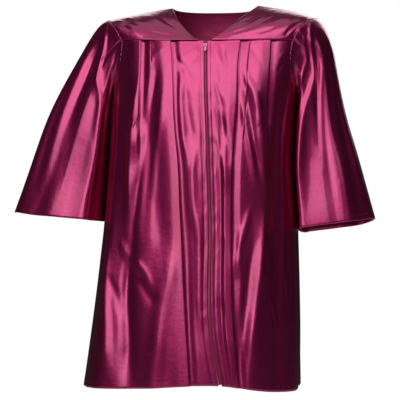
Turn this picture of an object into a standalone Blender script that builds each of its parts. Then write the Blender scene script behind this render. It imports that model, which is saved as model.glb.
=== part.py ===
# Choir robe in satin for a child, worn shape with nobody in it. It has a yoke, fronts and
# a back pleated into it, bell sleeves gathered at their heads and a zip down the front.
# Metres, +Z up. The robe faces -Y. Zero is on the shoulder line, midway between the shoulders.
# "Turn" is the angle round the body in degrees: 0 in front, 90 at the +X side, 180 behind.

from functools import cache

import bpy
import numpy as np
from mathutils import Matrix, Vector

ROBE = "choir_robe"
WALL = 0.0010          # thickness of the cloth
SEAM = 0.0003          # space between two pieces at a seam
SEAM_TOP = 0.0005      # the pleated edge lies this far below the yoke seam's line
FRONT_CORNER = 51.0    # turn where the yoke seam meets the armhole, front
BACK_CORNER = 128.0    # the same behind
UNDERARM = -0.172      # height of the armhole's lowest point
BACK_SEAM = -0.078     # height of the back yoke seam
HEM = -0.6885
YOKE_OUT = 0.0019      # the yoke lies over the pleats by this much
SLIT = 0.0030          # half the opening along the zip
TAPE = 0.0115          # half the width of the zip's two tapes
TAPE_DEPTH = 0.0013    # the tapes lie behind the fronts
ZIP_TOP = -0.0700
ZIP_END = -0.6820

# The body's level sections: height, middle_x, half_width, front_depth, back_depth
SECTIONS = np.array([
    (-0.050, -0.002, 0.186, 0.100, 0.082),
    (-0.120, -0.009, 0.176, 0.117, 0.096),
    (-0.190, -0.016, 0.171, 0.124, 0.101),
    (-0.410, -0.026, 0.178, 0.130, 0.112),
    (-0.540, -0.032, 0.187, 0.138, 0.125),
    (-0.700, -0.042, 0.199, 0.150, 0.140),
])
SQUARENESS = 0.05      # how far a section is from an ellipse

# Height of the front yoke seam and of the hem round the body: turn, height
FRONT_SEAM = np.array([(-60, -0.0630), (-30, -0.0655), (0, -0.0672), (30, -0.0670), (60, -0.0663)])
HEM_LINE = np.array([
    (-180, -0.6880), (-135, -0.6900), (-90, -0.6920), (-50, -0.6895), (-10, -0.6855),
    (16, -0.6810), (35, -0.6890), (90, -0.6925), (135, -0.6890), (180, -0.6880),
])

# Where the zip and each fold edge of the fronts runs: height, turn
ZIP_LINE = np.array([
    (-0.067, 0.4), (-0.158, 3.8), (-0.229, 6.4), (-0.291, 7.8), (-0.353, 8.8),
    (-0.442, 9.6), (-0.530, 10.2), (-0.591, 11.8), (-0.639, 14.2), (-0.690, 17.4),
])
LEFT_INNER = np.array([
    (-0.067, -16.3), (-0.139, -13.2), (-0.229, -9.8), (-0.282, -7.4), (-0.353, -5.6),
    (-0.424, -3.8), (-0.512, -1.4), (-0.600, 1.2), (-0.690, 4.0),
])
RIGHT_INNER = np.array([
    (-0.067, 17.2), (-0.104, 17.6), (-0.140, 19.0), (-0.176, 20.2), (-0.229, 20.4),
    (-0.353, 20.0), (-0.424, 20.2), (-0.512, 21.0), (-0.600, 23.0), (-0.690, 26.6),
])
LEFT_OUTER = np.array([(-0.067, -33.4), (-0.156, -32.4), (-0.250, -31.0), (-0.690, -28.0)])
RIGHT_OUTER = np.array([(-0.067, 33.8), (-0.104, 36.0), (-0.175, 39.0), (-0.300, 41.0), (-0.690, 46.0)])
BACK_LINES = {
    "left_outer": np.array([(-0.067, -139.0), (-0.690, -133.0)]),
    "left_inner": np.array([(-0.067, -162.0), (-0.690, -160.0)]),
    "right_inner": np.array([(-0.067, 162.0), (-0.690, 158.0)]),
    "right_outer": np.array([(-0.067, 139.0), (-0.690, 136.0)]),
}

# A knife pleat across its fold: run along the cloth, rise off the body. The edge is at run 0.
PLEAT_RISE = 0.0030
PLEAT_TUCK = 0.0080
PLEAT_STEP = 0.0010    # what is left of the tuck when the pleat opens into a step
PLEAT_TURN = PLEAT_RISE / 4
PLEAT_LEAD = 0.024     # the cloth climbs to the edge over this run
PLEAT_TRAIL = 0.011    # and settles again over this one
HIP = 0.0020           # past the tuck the cloth on top is still this far along before it sinks
TUCK_SHARE = 0.42      # most of the lead that lies over the tuck
HIP_SHARE = 0.62
EDGE_SHARE = 0.72      # most of the cloth that a pleat takes up beside a seam or the zip
INNER_SHARE = 0.55     # the same beside another pleat
TRAIL_SHARE = 0.35
FADE_END = -0.315      # the outer pleats of the fronts have opened out at this height
FADE_RUN = 0.185

FOLD_START = 0.40      # a fold rises over this share of its length, and dies out over the next
FOLD_END = 0.33

# The body's large soft folds: turn and height at the top, the same at the bottom, spread, rise
BODY_FOLDS = np.array([
    (-34, -0.10, -36, -0.40, 4.0, 0.0030),
    (-24, -0.16, -20, -0.44, 4.5, -0.0030),
    (-52, -0.24, -44, -0.72, 6.5, 0.0055),
    (-36, -0.38, -22, -0.72, 7.0, -0.0050),
    (-12, -0.40, -12, -0.72, 4.0, 0.0035),
    (28, -0.10, 42, -0.38, 4.5, 0.0040),
    (40, -0.34, 36, -0.56, 5.0, 0.0040),
    (38, -0.50, 32, -0.72, 5.0, 0.0045),
    (54, -0.28, 52, -0.72, 6.0, -0.0045),
    (72, -0.26, 70, -0.72, 7.0, 0.0050),
    (-74, -0.26, -70, -0.72, 7.0, -0.0045),
    (96, -0.28, 92, -0.72, 7.0, -0.0040),
    (-96, -0.28, -94, -0.72, 7.0, 0.0045),
    (118, -0.20, 114, -0.72, 7.0, 0.0050),
    (-116, -0.20, -114, -0.72, 7.0, -0.0045),
    (150, -0.24, 146, -0.72, 6.0, 0.0045),
    (-150, -0.24, -148, -0.72, 6.0, 0.0045),
    (-180, -0.20, -179, -0.72, 6.5, 0.0045),
    (180, -0.20, 181, -0.72, 6.5, 0.0045),
])

# Edges of the yoke, each from its lower end to its upper: x, y, z
NECKLINES = {
    -1: np.array([
        (-0.0235, -0.0960, -0.0610), (-0.0501, -0.0640, -0.0370),
        (-0.0675, -0.0300, -0.0158), (-0.0787, 0.0050, -0.0010),
    ]),
    1: np.array([
        (0.0345, -0.0830, -0.0445), (0.0520, -0.0560, -0.0270),
        (0.0690, -0.0250, -0.0100), (0.0801, 0.0050, 0.0020),
    ]),
}
SHOULDERS = {
    -1: np.array([
        (-0.0787, 0.0050, -0.0010), (-0.1204, 0.0050, -0.0071),
        (-0.1680, 0.0050, -0.0160), (-0.1990, 0.0050, -0.0225),
    ]),
    1: np.array([
        (0.0801, 0.0050, 0.0020), (0.1199, 0.0050, -0.0045),
        (0.1561, 0.0050, -0.0120), (0.1850, 0.0050, -0.0225),
    ]),
}
BACK_NECK = np.array([
    (-0.0787, 0.0050, -0.0010), (-0.0740, 0.0330, -0.0030), (-0.0540, 0.0600, -0.0045),
    (0.0000, 0.0730, -0.0050), (0.0550, 0.0600, -0.0040), (0.0755, 0.0330, -0.0010),
    (0.0801, 0.0050, 0.0020),
])
V_TURN = 4.0           # the neck's V is this far from the front middle where it meets the seam
NECK_TURN = 158.0      # the back yoke's seam lies below the neck corner at this turn
YOKE_COLUMNS = np.linspace(0, 1, 9)
YOKE_STEPS = np.linspace(0, 1, 9)
SHOULDER_STEPS = np.linspace(0, 1, 6)
BACK_NECK_STEPS = np.linspace(0, 1, 9)

# Sleeve sections down the arm: outer_x, outer_z, inner_z, front_reach, back_reach, and the
# space between the middles of the sleeve's inner wall and the body's
SLEEVES = {
    -1: np.array([
        (-0.2460, -0.0830, -0.2050, 0.0600, 0.0600, 0.0075),
        (-0.2780, -0.1380, -0.2400, 0.0640, 0.0640, 0.0055),
        (-0.3080, -0.1970, -0.2800, 0.0680, 0.0690, 0.0045),
        (-0.3320, -0.2600, -0.3200, 0.0710, 0.0740, 0.0045),
        (-0.3530, -0.3200, -0.3560, 0.0740, 0.0790, 0.0045),
        (-0.3730, -0.3745, -0.3920, 0.0780, 0.0830, 0.0045),
    ]),
    1: np.array([
        (0.2180, -0.0830, -0.2050, 0.0600, 0.0600, 0.0075),
        (0.2275, -0.1370, -0.2430, 0.0630, 0.0640, 0.0055),
        (0.2410, -0.2000, -0.2880, 0.0660, 0.0690, 0.0045),
        (0.2580, -0.2580, -0.3270, 0.0690, 0.0740, 0.0045),
        (0.2760, -0.3220, -0.3660, 0.0720, 0.0790, 0.0045),
        (0.2935, -0.3850, -0.4060, 0.0760, 0.0830, 0.0045),
    ]),
}
CUFF_DROP = {-1: 0.0010, 1: 0.0110}   # the back of the cuff hangs this much lower
HEAD_ROWS = np.array([0.0, 0.06, 0.20, 0.42, 0.70, 1.0])
HEAD_LEAD = 0.055      # how far the sleeve head follows the shoulder before it falls
HEAD_FALL = 0.085
GATHER = 0.0010        # rise of the gathers at the sleeve head
GATHER_HALF = 125.0    # they reach this far round from the shoulder
GATHER_RUN = 0.42      # and this share of the way down
GATHER_START = 0.08
SLEEVE_FOLD_RUN = 0.45
INNER_FULLNESS = 0.70  # under 1, the section's inner half is rounder than an ellipse
SIDE_TURNS = np.linspace(20, 160, 71)

# Sleeve folds: angle at the top, angle at the cuff (0 outside, 90 front), start, spread, rise
SLEEVE_FOLDS = {
    -1: np.array([
        (58, 66, 0.02, 11, -0.0050), (84, 96, 0.10, 9, 0.0040), (112, 120, 0.05, 10, -0.0040),
        (34, 36, 0.25, 10, 0.0040), (-40, -44, 0.05, 12, -0.0050), (-72, -80, 0.15, 10, 0.0040),
        (-108, -112, 0.05, 11, -0.0045), (8, 6, 0.30, 10, -0.0030),
    ]),
    1: np.array([
        (70, 88, 0.02, 10, -0.0050), (96, 112, 0.10, 9, 0.0040), (118, 134, 0.05, 9, -0.0040),
        (40, 46, 0.25, 12, -0.0040), (22, 24, 0.20, 9, 0.0035), (-38, -42, 0.05, 12, -0.0050),
        (-70, -78, 0.15, 10, 0.0040), (-108, -112, 0.05, 11, -0.0045),
    ]),
}

# Zip slider and pull tab
SLIDER_HEIGHT = -0.0790
COIL_RADIUS = 0.0009
COIL_OUT = 0.0005
SLIDER_OUT = 0.0017
SLIDER_SIZE = (0.0076, 0.0094, 0.0020)
BRIDGE_SIZE = (0.0012, 0.0040, 0.0026)
BRIDGE_HOLE = (0.0026, 0.0018)
BRIDGE_SUNK = 0.0004   # the bridge starts this far inside the slider's body
SLIDER_ROUNDING = 0.0007
PIVOT_RISE = 0.0009
PIVOT_DOWN = 0.0003
TAB_WIDTH = 0.0046
TAB_LENGTH = 0.0100
TAB_WINDOW = (0.0026, 0.00045, 0.00375)
TAB_THICK = 0.0009


# Smooth curves through short tables

def smooth(knots, values):
    """Natural cubic spline: a function of the knots' own measure."""
    order = np.argsort(knots)
    knots = np.asarray(knots, float)[order]
    values = np.asarray(values, float)[order]
    count = len(knots)
    step = np.diff(knots)
    matrix = np.eye(count)
    right = np.zeros_like(values)
    for i in range(1, count - 1):
        matrix[i, i - 1:i + 2] = step[i - 1], 2 * (step[i - 1] + step[i]), step[i]
        right[i] = 6 * ((values[i + 1] - values[i]) / step[i] - (values[i] - values[i - 1]) / step[i - 1])
    bend = np.linalg.solve(matrix, right)

    def at(x):
        x = np.clip(np.asarray(x, float), knots[0], knots[-1])
        i = np.clip(np.searchsorted(knots, x, side="right") - 1, 0, count - 2)
        width, after, before = step[i], x - knots[i], knots[i + 1] - x
        if values.ndim > 1:
            width, after, before = width[..., None], after[..., None], before[..., None]
        curve = (bend[i] * before ** 3 + bend[i + 1] * after ** 3) / (6 * width)
        curve += (values[i] / width - bend[i] * width / 6) * before
        return curve + (values[i + 1] / width - bend[i + 1] * width / 6) * after

    return at


def smooth_path(points):
    """Curve through points in space, as a function of the fraction of its length."""
    length = np.concatenate([[0], np.cumsum(np.linalg.norm(np.diff(points, axis=0), axis=1))])
    return smooth(length / length[-1], points)


def ease(x):
    """0 below 0, 1 above 1 and a smooth step between."""
    x = np.clip(x, 0, 1)
    return x * x * (3 - 2 * x)


def unit(vectors):
    return vectors / np.linalg.norm(vectors, axis=-1, keepdims=True)


section_at = smooth(SECTIONS[:, 0], SECTIONS[:, 1:])
front_seam = smooth(FRONT_SEAM[:, 0], FRONT_SEAM[:, 1])
hem_line = smooth(HEM_LINE[:, 0], HEM_LINE[:, 1])
zip_turn = smooth(ZIP_LINE[:, 0], ZIP_LINE[:, 1])


# The body's surface

def body_base(turn, height):
    angle = np.radians(turn)
    middle, half, front, back = np.moveaxis(section_at(height), -1, 0)
    side = (np.sin(angle) + SQUARENESS * np.sin(3 * angle)) / (1 - SQUARENESS)
    deep = (np.cos(angle) - SQUARENESS * np.cos(3 * angle)) / (1 - SQUARENESS)
    depth = np.where(np.cos(angle) > 0, front, back)
    return np.stack([middle + half * side, -depth * deep, height + 0 * angle], -1)


def body_fold(turn, height):
    """Rise of the large folds over the plain section."""
    rise = np.zeros(np.broadcast(turn, height).shape)
    for turn_top, top, turn_low, low, spread, lift in BODY_FOLDS:
        down = (top - height) / (top - low)
        aside = (turn - (turn_top + (turn_low - turn_top) * down)) / spread
        end = 1.0 if low < HEM else ease((1 - down) / FOLD_END)
        rise = rise + lift * np.exp(-aside ** 2) * ease(down / FOLD_START) * end
    return rise


def body(turn, height, out=0.0):
    """Points on the robe's body, moved out level from the cloth."""
    turn, height, out = np.broadcast_arrays(np.asarray(turn, float), height, out)
    aside = body_base(turn + 0.5, height) - body_base(turn - 0.5, height)
    along = body_base(turn, height + 0.001) - body_base(turn, height - 0.001)
    facing = np.cross(aside, along)
    facing[..., 2] = 0
    facing = unit(facing)
    return body_base(turn, height) + facing * (out + body_fold(turn, height))[..., None]


def metres_a_degree(turn, height):
    return np.linalg.norm(body_base(turn + 0.5, height) - body_base(turn - 0.5, height), axis=-1)


# Fronts and back

def pleat_profile(strength, lead, trail):
    """Run and rise of the 13 lines of one pleat. As it weakens, its tuck shortens, then it
    opens into a step and the step sinks into plain cloth."""
    top, middle = PLEAT_RISE, PLEAT_RISE / 2
    tuck = min(PLEAT_TUCK, TUCK_SHARE * lead) * ease(3 * strength - 2) + PLEAT_STEP
    folded = ease(3 * strength - 1)
    corner = PLEAT_TURN * np.sqrt(0.75)
    hip = min(tuck + HIP, HIP_SHARE * lead)
    run = np.array([
        -lead, -0.5 * (lead + hip), -hip, -PLEAT_TURN, -PLEAT_TURN + corner, -PLEAT_TURN + corner,
        -PLEAT_TURN, -tuck, -tuck - corner, -tuck - corner, -tuck, 0.25 * trail, trail,
    ])
    rise = np.array([
        0, 0.40 * top, 0.93 * top, top, top - PLEAT_TURN / 2, middle + PLEAT_TURN / 2,
        middle, middle, middle - PLEAT_TURN / 2, PLEAT_TURN / 2, 0, 0, 0,
    ])
    open_run = np.concatenate([run[:3], np.linspace(-0.8 * hip, 0.2 * trail, 8), run[-2:] + 0.0015])
    open_rise = np.concatenate([rise[:3], top * (1 - ease(np.linspace(0, 1, 8))), rise[-2:]])
    run = open_run + (run - open_run) * folded
    rise = open_rise + (rise - open_rise) * folded
    return run, rise * ease(3 * strength)


def across(height, first, last, pleats, plain):
    """Turn and rise of every column of one row, from the first edge to the last."""
    turns, rises = [], []
    edges = [first] + [line(height) for line, direction, strength in pleats] + [last]
    start = first
    for i, (line, direction, strength) in enumerate(pleats):
        edge = edges[i + 1]
        degree = float(metres_a_degree(edge, height))
        before = (edge - edges[i]) * degree
        after = (edges[i + 2] - edge) * degree
        lead, trail = (before, after) if direction > 0 else (after, before)
        share = EDGE_SHARE if i in (0, len(pleats) - 1) else INNER_SHARE
        lead, trail = min(PLEAT_LEAD, share * lead), min(PLEAT_TRAIL, TRAIL_SHARE * trail)
        run, rise = pleat_profile(strength(height), lead, trail)
        if direction < 0:
            run, rise = -run[::-1], rise[::-1]
        local = edge + run / degree
        level = list(np.linspace(start, local[0], plain[i] + 1)[min(i, 1):-1])
        turns += level + list(local)
        rises += [0.0] * len(level) + list(rise)
        start = local[-1]
    turns += list(np.linspace(start, last, plain[-1] + 1)[1:])
    rises += [0.0] * plain[-1]
    return turns, rises


def armhole_turn(fraction, corner):
    """Turn of the armhole's edge, from the yoke seam (0) to the underarm (1)."""
    return 90 + (corner - 90) * np.cos(fraction * np.pi / 2)


def armhole_height(fraction, top):
    return top + (UNDERARM - top) * np.sin(fraction * np.pi / 2)


ARMHOLE_STEPS = np.linspace(0, 1, 7)
LOWER_STEPS = np.array([0.035, 0.10, 0.155, 0.22, 0.35, 0.50, 0.68, 0.85, 1.0])


def panel_rows(top, corner):
    """Each row of a panel: its height, the turn of its side edge, how near the top and the hem."""
    rows = []
    for step in ARMHOLE_STEPS:
        rows.append((armhole_height(step, top), armhole_turn(step, corner), 1 - step, 0.0))
    for step in LOWER_STEPS:
        rows.append((UNDERARM + (HEM - UNDERARM) * step, 90.0, 0.0, step ** 2))
    return rows


def gap_turn(turn, height, metres):
    return metres / float(metres_a_degree(turn, height))


def always(height):
    return 1.0


def fading(height):
    """A pleat that opens out below the chest."""
    return float(ease((height - FADE_END) / FADE_RUN))


@cache
def front_panel(side):
    """Left (-1) or right (+1) front, from the zip to the side seam."""
    seam = float(front_seam(0))
    inner, outer = (LEFT_INNER, LEFT_OUTER) if side < 0 else (RIGHT_INNER, RIGHT_OUTER)
    inner_line = smooth(inner[:, 0], inner[:, 1])
    outer_line = smooth(outer[:, 0], outer[:, 1])
    pleats = [(outer_line, 1, fading), (inner_line, 1, always)]
    plain = [4, 3, 1]
    if side > 0:
        pleats.reverse()
        plain = [1, 3, 5]
    grid = []
    for height, edge, near_top, near_hem in panel_rows(seam, FRONT_CORNER):
        middle = float(zip_turn(height))
        slit = middle + side * gap_turn(middle, height, SLIT)
        tape = middle + side * gap_turn(middle, height, TAPE)
        seam_edge = side * (edge - gap_turn(90, height, SEAM / 2) * (edge >= 90))
        first, last = (seam_edge, tape) if side < 0 else (tape, seam_edge)
        turns, rises = across(height, first, last, pleats, plain)
        if side < 0:
            turns, rises = turns + [slit], rises + [0.0]
        else:
            turns, rises = [slit] + turns, [0.0] + rises
        turns = np.array(turns)
        level = height + near_top * (front_seam(turns) - seam) + near_hem * (hem_line(turns) - HEM)
        grid.append(body(turns, level - near_top * SEAM_TOP, np.array(rises)))
    return np.array(grid)


def zip_columns(side):
    """The zip's middle and the two columns of a front beside it, from the slit outwards."""
    front = front_panel(side)
    slit, tape = (front[:, -1], front[:, -2]) if side < 0 else (front[:, 0], front[:, 1])
    middle = body(zip_turn(slit[:, 2]), slit[:, 2])
    return middle, slit, tape


def outward(middle, aside, side):
    """Level direction out of the front, along the zip."""
    facing = side * np.cross(aside - middle, np.array([0, 0, 1.0]))
    return unit(facing)


def zip_tape(side):
    middle, slit, tape = zip_columns(side)
    inner = middle + unit(slit - middle) * SEAM / 2
    grid = np.stack([inner, slit, tape], 1)
    return grid - outward(middle, tape, side)[:, None] * TAPE_DEPTH


@cache
def back_panel():
    """The whole back, from the right side seam round to the left one."""
    names = ("right_outer", "right_inner", "left_inner", "left_outer")
    pleats = []
    for name, direction in zip(names, (-1, -1, 1, 1)):
        heights, turns = BACK_LINES[name].T
        pleats.append((smooth(heights, np.mod(turns, 360)), direction, always))
    plain = [4, 2, 3, 2, 4]
    grid = []
    for height, edge, near_top, near_hem in panel_rows(BACK_SEAM, 180 - BACK_CORNER):
        edge = 180 - edge + gap_turn(90, height, SEAM / 2) * (edge >= 90)
        turns, rises = across(height, edge, 360 - edge, pleats, plain)
        turns = np.array(turns)
        level = height + near_hem * (hem_line(np.where(turns > 180, turns - 360, turns)) - HEM)
        wrapped = np.where(turns > 180, turns - 360, turns)
        grid.append(body(wrapped, level - near_top * SEAM_TOP, np.array(rises)))
    return np.array(grid)


# Yoke

def quarter(low, high, steps):
    """Rounded section from a low edge, where it stands upright, to a high edge, where it lies level."""
    turn = steps[:, None, None] * np.pi / 2
    rise, reach = np.sin(turn), 1 - np.cos(turn)
    grid = low[None] + (high - low)[None] * reach
    grid[..., 2] = (low[None] + (high - low)[None] * rise)[..., 2]
    grid[..., 0] = (low[None] + (high - low)[None] * (0.5 * (rise + reach)))[..., 0]
    return grid


def fitted(grid, first, last, columns):
    """The same grid, with its first and last columns carried to the given edges."""
    share = columns[None, :, None]
    grid = grid + (1 - share) * (first - grid[:, 0])[:, None]
    return grid + share * (last - grid[:, -1])[:, None]


def armhole_side(corner, tip, steps):
    """The yoke's edge along the armhole, from the yoke seam's corner up to the shoulder tip."""
    return quarter(corner[None], tip[None], steps)[:, 0]


def front_yoke(side, columns, steps):
    corner = FRONT_CORNER * side
    turns = V_TURN * side + (corner - V_TURN * side) * columns
    low = body(turns, front_seam(turns) + SEAM / 2, YOKE_OUT)
    shoulder = smooth_path(SHOULDERS[side])(columns) - np.array([0, SEAM / 2, 0])
    neck = smooth_path(np.vstack([low[:1], NECKLINES[side]]))(steps)
    neck[-1] = shoulder[0]
    edge = armhole_side(low[-1], shoulder[-1], steps)
    return fitted(quarter(low, shoulder, steps), neck, edge, columns)


def back_yoke(shoulder_steps, neck_steps, steps):
    right = smooth_path(SHOULDERS[1])(1 - shoulder_steps)
    neck = smooth_path(BACK_NECK)(1 - neck_steps)[1:-1]
    left = smooth_path(SHOULDERS[-1])(shoulder_steps)
    high = np.vstack([right, neck, left]) + np.array([0, SEAM / 2, 0])
    side = (NECK_TURN - BACK_CORNER) * shoulder_steps
    centre = NECK_TURN + 2 * (180 - NECK_TURN) * neck_steps[1:-1]
    spread = np.concatenate([BACK_CORNER + side, centre, 360 - NECK_TURN + side])
    wrapped = np.where(spread > 180, spread - 360, spread)
    low = body(wrapped, np.full(len(spread), BACK_SEAM + SEAM / 2), YOKE_OUT)
    return quarter(low, high, steps)


# Sleeves

def armhole_edges(side):
    """Armhole edges of the four pieces round it, and the next points in from each edge."""
    out, into = (-1, -2) if side > 0 else (0, 1)
    front, back = front_panel(side), back_panel()
    rows = len(ARMHOLE_STEPS)
    yoke = front_yoke(side, YOKE_COLUMNS, YOKE_STEPS)
    behind = back_yoke(SHOULDER_STEPS, BACK_NECK_STEPS, YOKE_STEPS)
    near, next_in = (0, 1) if side > 0 else (-1, -2)
    return [
        (yoke[::-1, -1], yoke[::-1, -2]),
        (front[:rows, out], front[:rows, into]),
        (back[:rows, near][::-1], back[:rows, next_in][::-1]),
        (behind[:, near], behind[:, next_in]),
    ]


def armhole(side):
    """Loop round one armhole, from the shoulder tip down the front and up the back."""
    spots, ways = [], []
    for i, (edge, inside) in enumerate(armhole_edges(side)):
        along = unit(np.diff(edge, axis=0))
        way = (edge[1:] + edge[:-1] - inside[1:] - inside[:-1]) / 2
        way = unit(way - (way * along).sum(-1, keepdims=True) * along)
        corner_ways = np.vstack([way[:1], unit(way[1:] + way[:-1]), way[-1:]])
        if i in (1, 2):
            halves = np.empty((2 * len(edge) - 1, 3))
            halves[::2], halves[1::2] = edge, (edge[1:] + edge[:-1]) / 2
            half_ways = np.empty_like(halves)
            half_ways[::2], half_ways[1::2] = corner_ways, way
            edge, corner_ways = halves, half_ways
        spots.append(edge)
        ways.append(corner_ways)
    loop, leads = [], []
    for i in range(4):
        joined = unit(ways[i][0] + ways[i - 1][-1])
        loop.append(np.vstack([(spots[i][:1] + spots[i - 1][-1:]) / 2, spots[i][1:-1]]))
        leads.append(np.vstack([joined[None], ways[i][1:-1]]))
    return np.vstack(loop), np.vstack(leads)


def beside_body(side, depth, height):
    """X of the inner wall of a sleeve: close beside the body at that depth and height."""
    line = body(side * SIDE_TURNS, height)
    return np.interp(depth, line[:, 1], line[:, 0])


def sleeve_section(side, row, angles, drop=0.0):
    outer_x, outer_z, inner_z, front, back, clear = row
    points = []
    for angle in angles:
        cos, sin = np.cos(angle), np.sin(angle)
        depth = -front * sin if sin > 0 else -back * sin
        inward = (1 - (cos if cos > 0 else -abs(cos) ** INNER_FULLNESS)) / 2
        height = outer_z + (inner_z - outer_z) * inward
        inner_x = beside_body(side, depth, height) + side * clear
        points.append((outer_x + (inner_x - outer_x) * inward, depth, height - drop * max(0, -sin)))
    return np.array(points)


def ring_facing(rings):
    along = np.gradient(rings, axis=0)
    around = np.roll(rings, -1, axis=1) - np.roll(rings, 1, axis=1)
    return unit(np.cross(along, around))


def sleeve_rise(side, angles, rows, count):
    """Rise of the gathers at the head and of the folds that run down to the cuff."""
    down = np.linspace(0, 1, rows)[:, None]
    spots = np.degrees(angles)[None]
    gathered = np.abs(((spots + 180) % 360) - 180) < GATHER_HALF
    in_and_out = np.where(np.arange(count) % 2, -GATHER, GATHER)[None]
    rise = in_and_out * gathered * ease(1 - down / GATHER_RUN) * ease(down / GATHER_START)
    for top, low, start, spread, lift in SLEEVE_FOLDS[side]:
        aside = (spots - (top + (low - top) * down) + 180) % 360 - 180
        rise = rise + lift * np.exp(-(aside / spread) ** 2) * ease((down - start) / SLEEVE_FOLD_RUN)
    return rise


def sleeve(side):
    """Rings from the armhole to the cuff; the columns go from the outside round the front."""
    head, lead = armhole(side)
    closed = np.vstack([head, head[:1]])
    length = np.concatenate([[0], np.cumsum(np.linalg.norm(np.diff(closed, axis=0), axis=1))])
    angles = length[:-1] / length[-1] * 2 * np.pi
    table = SLEEVES[side]
    sections = np.array([sleeve_section(side, row, angles) for row in table[:-1]])
    cuff = sleeve_section(side, table[-1], angles, CUFF_DROP[side])
    sections = np.concatenate([sections, cuff[None]])
    start = head + lead * SEAM
    fall = unit(sections[1] - sections[0])
    rings = []
    for t in HEAD_ROWS:
        ring = (2 * t ** 3 - 3 * t ** 2 + 1) * start + (3 * t ** 2 - 2 * t ** 3) * sections[0]
        ring = ring + (t ** 3 - 2 * t ** 2 + t) * lead * HEAD_LEAD + (t ** 3 - t ** 2) * fall * HEAD_FALL
        rings.append(ring)
    rings = np.array(rings + list(sections[1:]))
    facing = -side * ring_facing(rings)    # out of the sleeve on either side
    return rings + facing * sleeve_rise(side, angles, len(rings), len(angles))[..., None]


# Making the objects

def paint(thing, colour, roughness, metallic):
    material = bpy.data.materials.new(thing.name)
    material.use_nodes = True
    shader = material.node_tree.nodes["Principled BSDF"]
    shader.inputs["Base Color"].default_value = (*colour, 1)
    shader.inputs["Roughness"].default_value = roughness
    shader.inputs["Metallic"].default_value = metallic
    thing.data.materials.append(material)


SATIN = ((0.42, 0.03, 0.11), 0.32, 0.0)
TAPE_CLOTH = ((0.30, 0.03, 0.09), 0.7, 0.0)
PINK_METAL = ((0.75, 0.30, 0.38), 0.30, 0.9)


def cloth(name, grid, finish, round_shut=False, wall=WALL):
    """A wall of cloth on a grid of points, its rows down the garment."""
    rows, columns = grid.shape[:2]
    faces = []
    for r in range(rows - 1):
        for c in range(columns if round_shut else columns - 1):
            d = (c + 1) % columns
            faces.append((r * columns + c, (r + 1) * columns + c, (r + 1) * columns + d, r * columns + d))
    mesh = bpy.data.meshes.new(name)
    mesh.from_pydata(grid.reshape(-1, 3).tolist(), [], faces)
    thing = bpy.data.objects.new(name, mesh)
    robe.objects.link(thing)
    mesh.shade_smooth()
    shell = thing.modifiers.new("wall", "SOLIDIFY")
    shell.thickness = wall
    shell.offset = 0
    shell.use_even_offset = True
    paint(thing, *finish)
    return thing


for old in list(bpy.data.objects):
    bpy.data.objects.remove(old)
robe = bpy.data.collections.new(ROBE)
bpy.context.scene.collection.children.link(robe)

cloth("front_left", front_panel(-1), SATIN)
cloth("front_right", front_panel(1), SATIN)
cloth("back", back_panel(), SATIN)
cloth("yoke_front_left", front_yoke(-1, YOKE_COLUMNS, YOKE_STEPS), SATIN)
cloth("yoke_front_right", front_yoke(1, YOKE_COLUMNS, YOKE_STEPS), SATIN)
cloth("yoke_back", back_yoke(SHOULDER_STEPS, BACK_NECK_STEPS, YOKE_STEPS), SATIN)
cloth("sleeve_left", sleeve(-1), SATIN, round_shut=True)
cloth("sleeve_right", sleeve(1), SATIN, round_shut=True)
cloth("zip_tape_left", zip_tape(-1), TAPE_CLOTH)
cloth("zip_tape_right", zip_tape(1), TAPE_CLOTH)


# Zip

class Place:
    """A spot on the zip: its point on the fronts' middle and the three directions there."""

    def __init__(self, height):
        middle, _, tape = zip_columns(1)
        order = np.argsort(middle[:, 2])
        heights = middle[order, 2]

        def between(table, level):
            return np.array([np.interp(level, heights, column) for column in table[order].T])

        self.point = between(middle, height)
        self.up = unit(between(middle, height + 0.003) - between(middle, height - 0.003))
        out = between(outward(middle, tape, 1), height)
        self.out = unit(out - out.dot(self.up) * self.up)
        self.across = np.cross(self.up, self.out)

    def matrix(self, rise, down=0.0):
        """Local X across the zip, Y up along it, Z out of the robe."""
        spot = self.point + self.out * rise - self.up * down
        turn = Matrix([list(row) for row in np.stack([self.across, self.up, self.out], 1)])
        return Matrix.Translation(Vector(spot)) @ turn.to_4x4()


def block(name, size, shift, place, collection):
    bpy.ops.mesh.primitive_cube_add(size=1)
    thing = bpy.context.object
    thing.name = name
    for old in thing.users_collection:
        old.objects.unlink(thing)
    collection.objects.link(thing)
    thing.data.transform(Matrix.Translation(shift) @ Matrix.Diagonal((*size, 1)))
    thing.matrix_world = place
    return thing


def zip_coil():
    middle = zip_columns(1)[0]
    tops = middle[(middle[:, 2] < ZIP_TOP) & (middle[:, 2] > ZIP_END)][:, 2]
    heights = [ZIP_TOP, *tops, ZIP_END]
    line = bpy.data.curves.new("zip_coil", "CURVE")
    line.dimensions = "3D"
    line.bevel_depth = COIL_RADIUS
    line.bevel_resolution = 2
    line.use_fill_caps = True
    spline = line.splines.new("POLY")
    spline.points.add(len(heights) - 1)
    for point, height in zip(spline.points, heights):
        spot = Place(height)
        point.co = (*(spot.point + spot.out * COIL_OUT), 1)
    thing = bpy.data.objects.new("zip_coil", line)
    robe.objects.link(thing)
    paint(thing, *TAPE_CLOTH)


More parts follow.
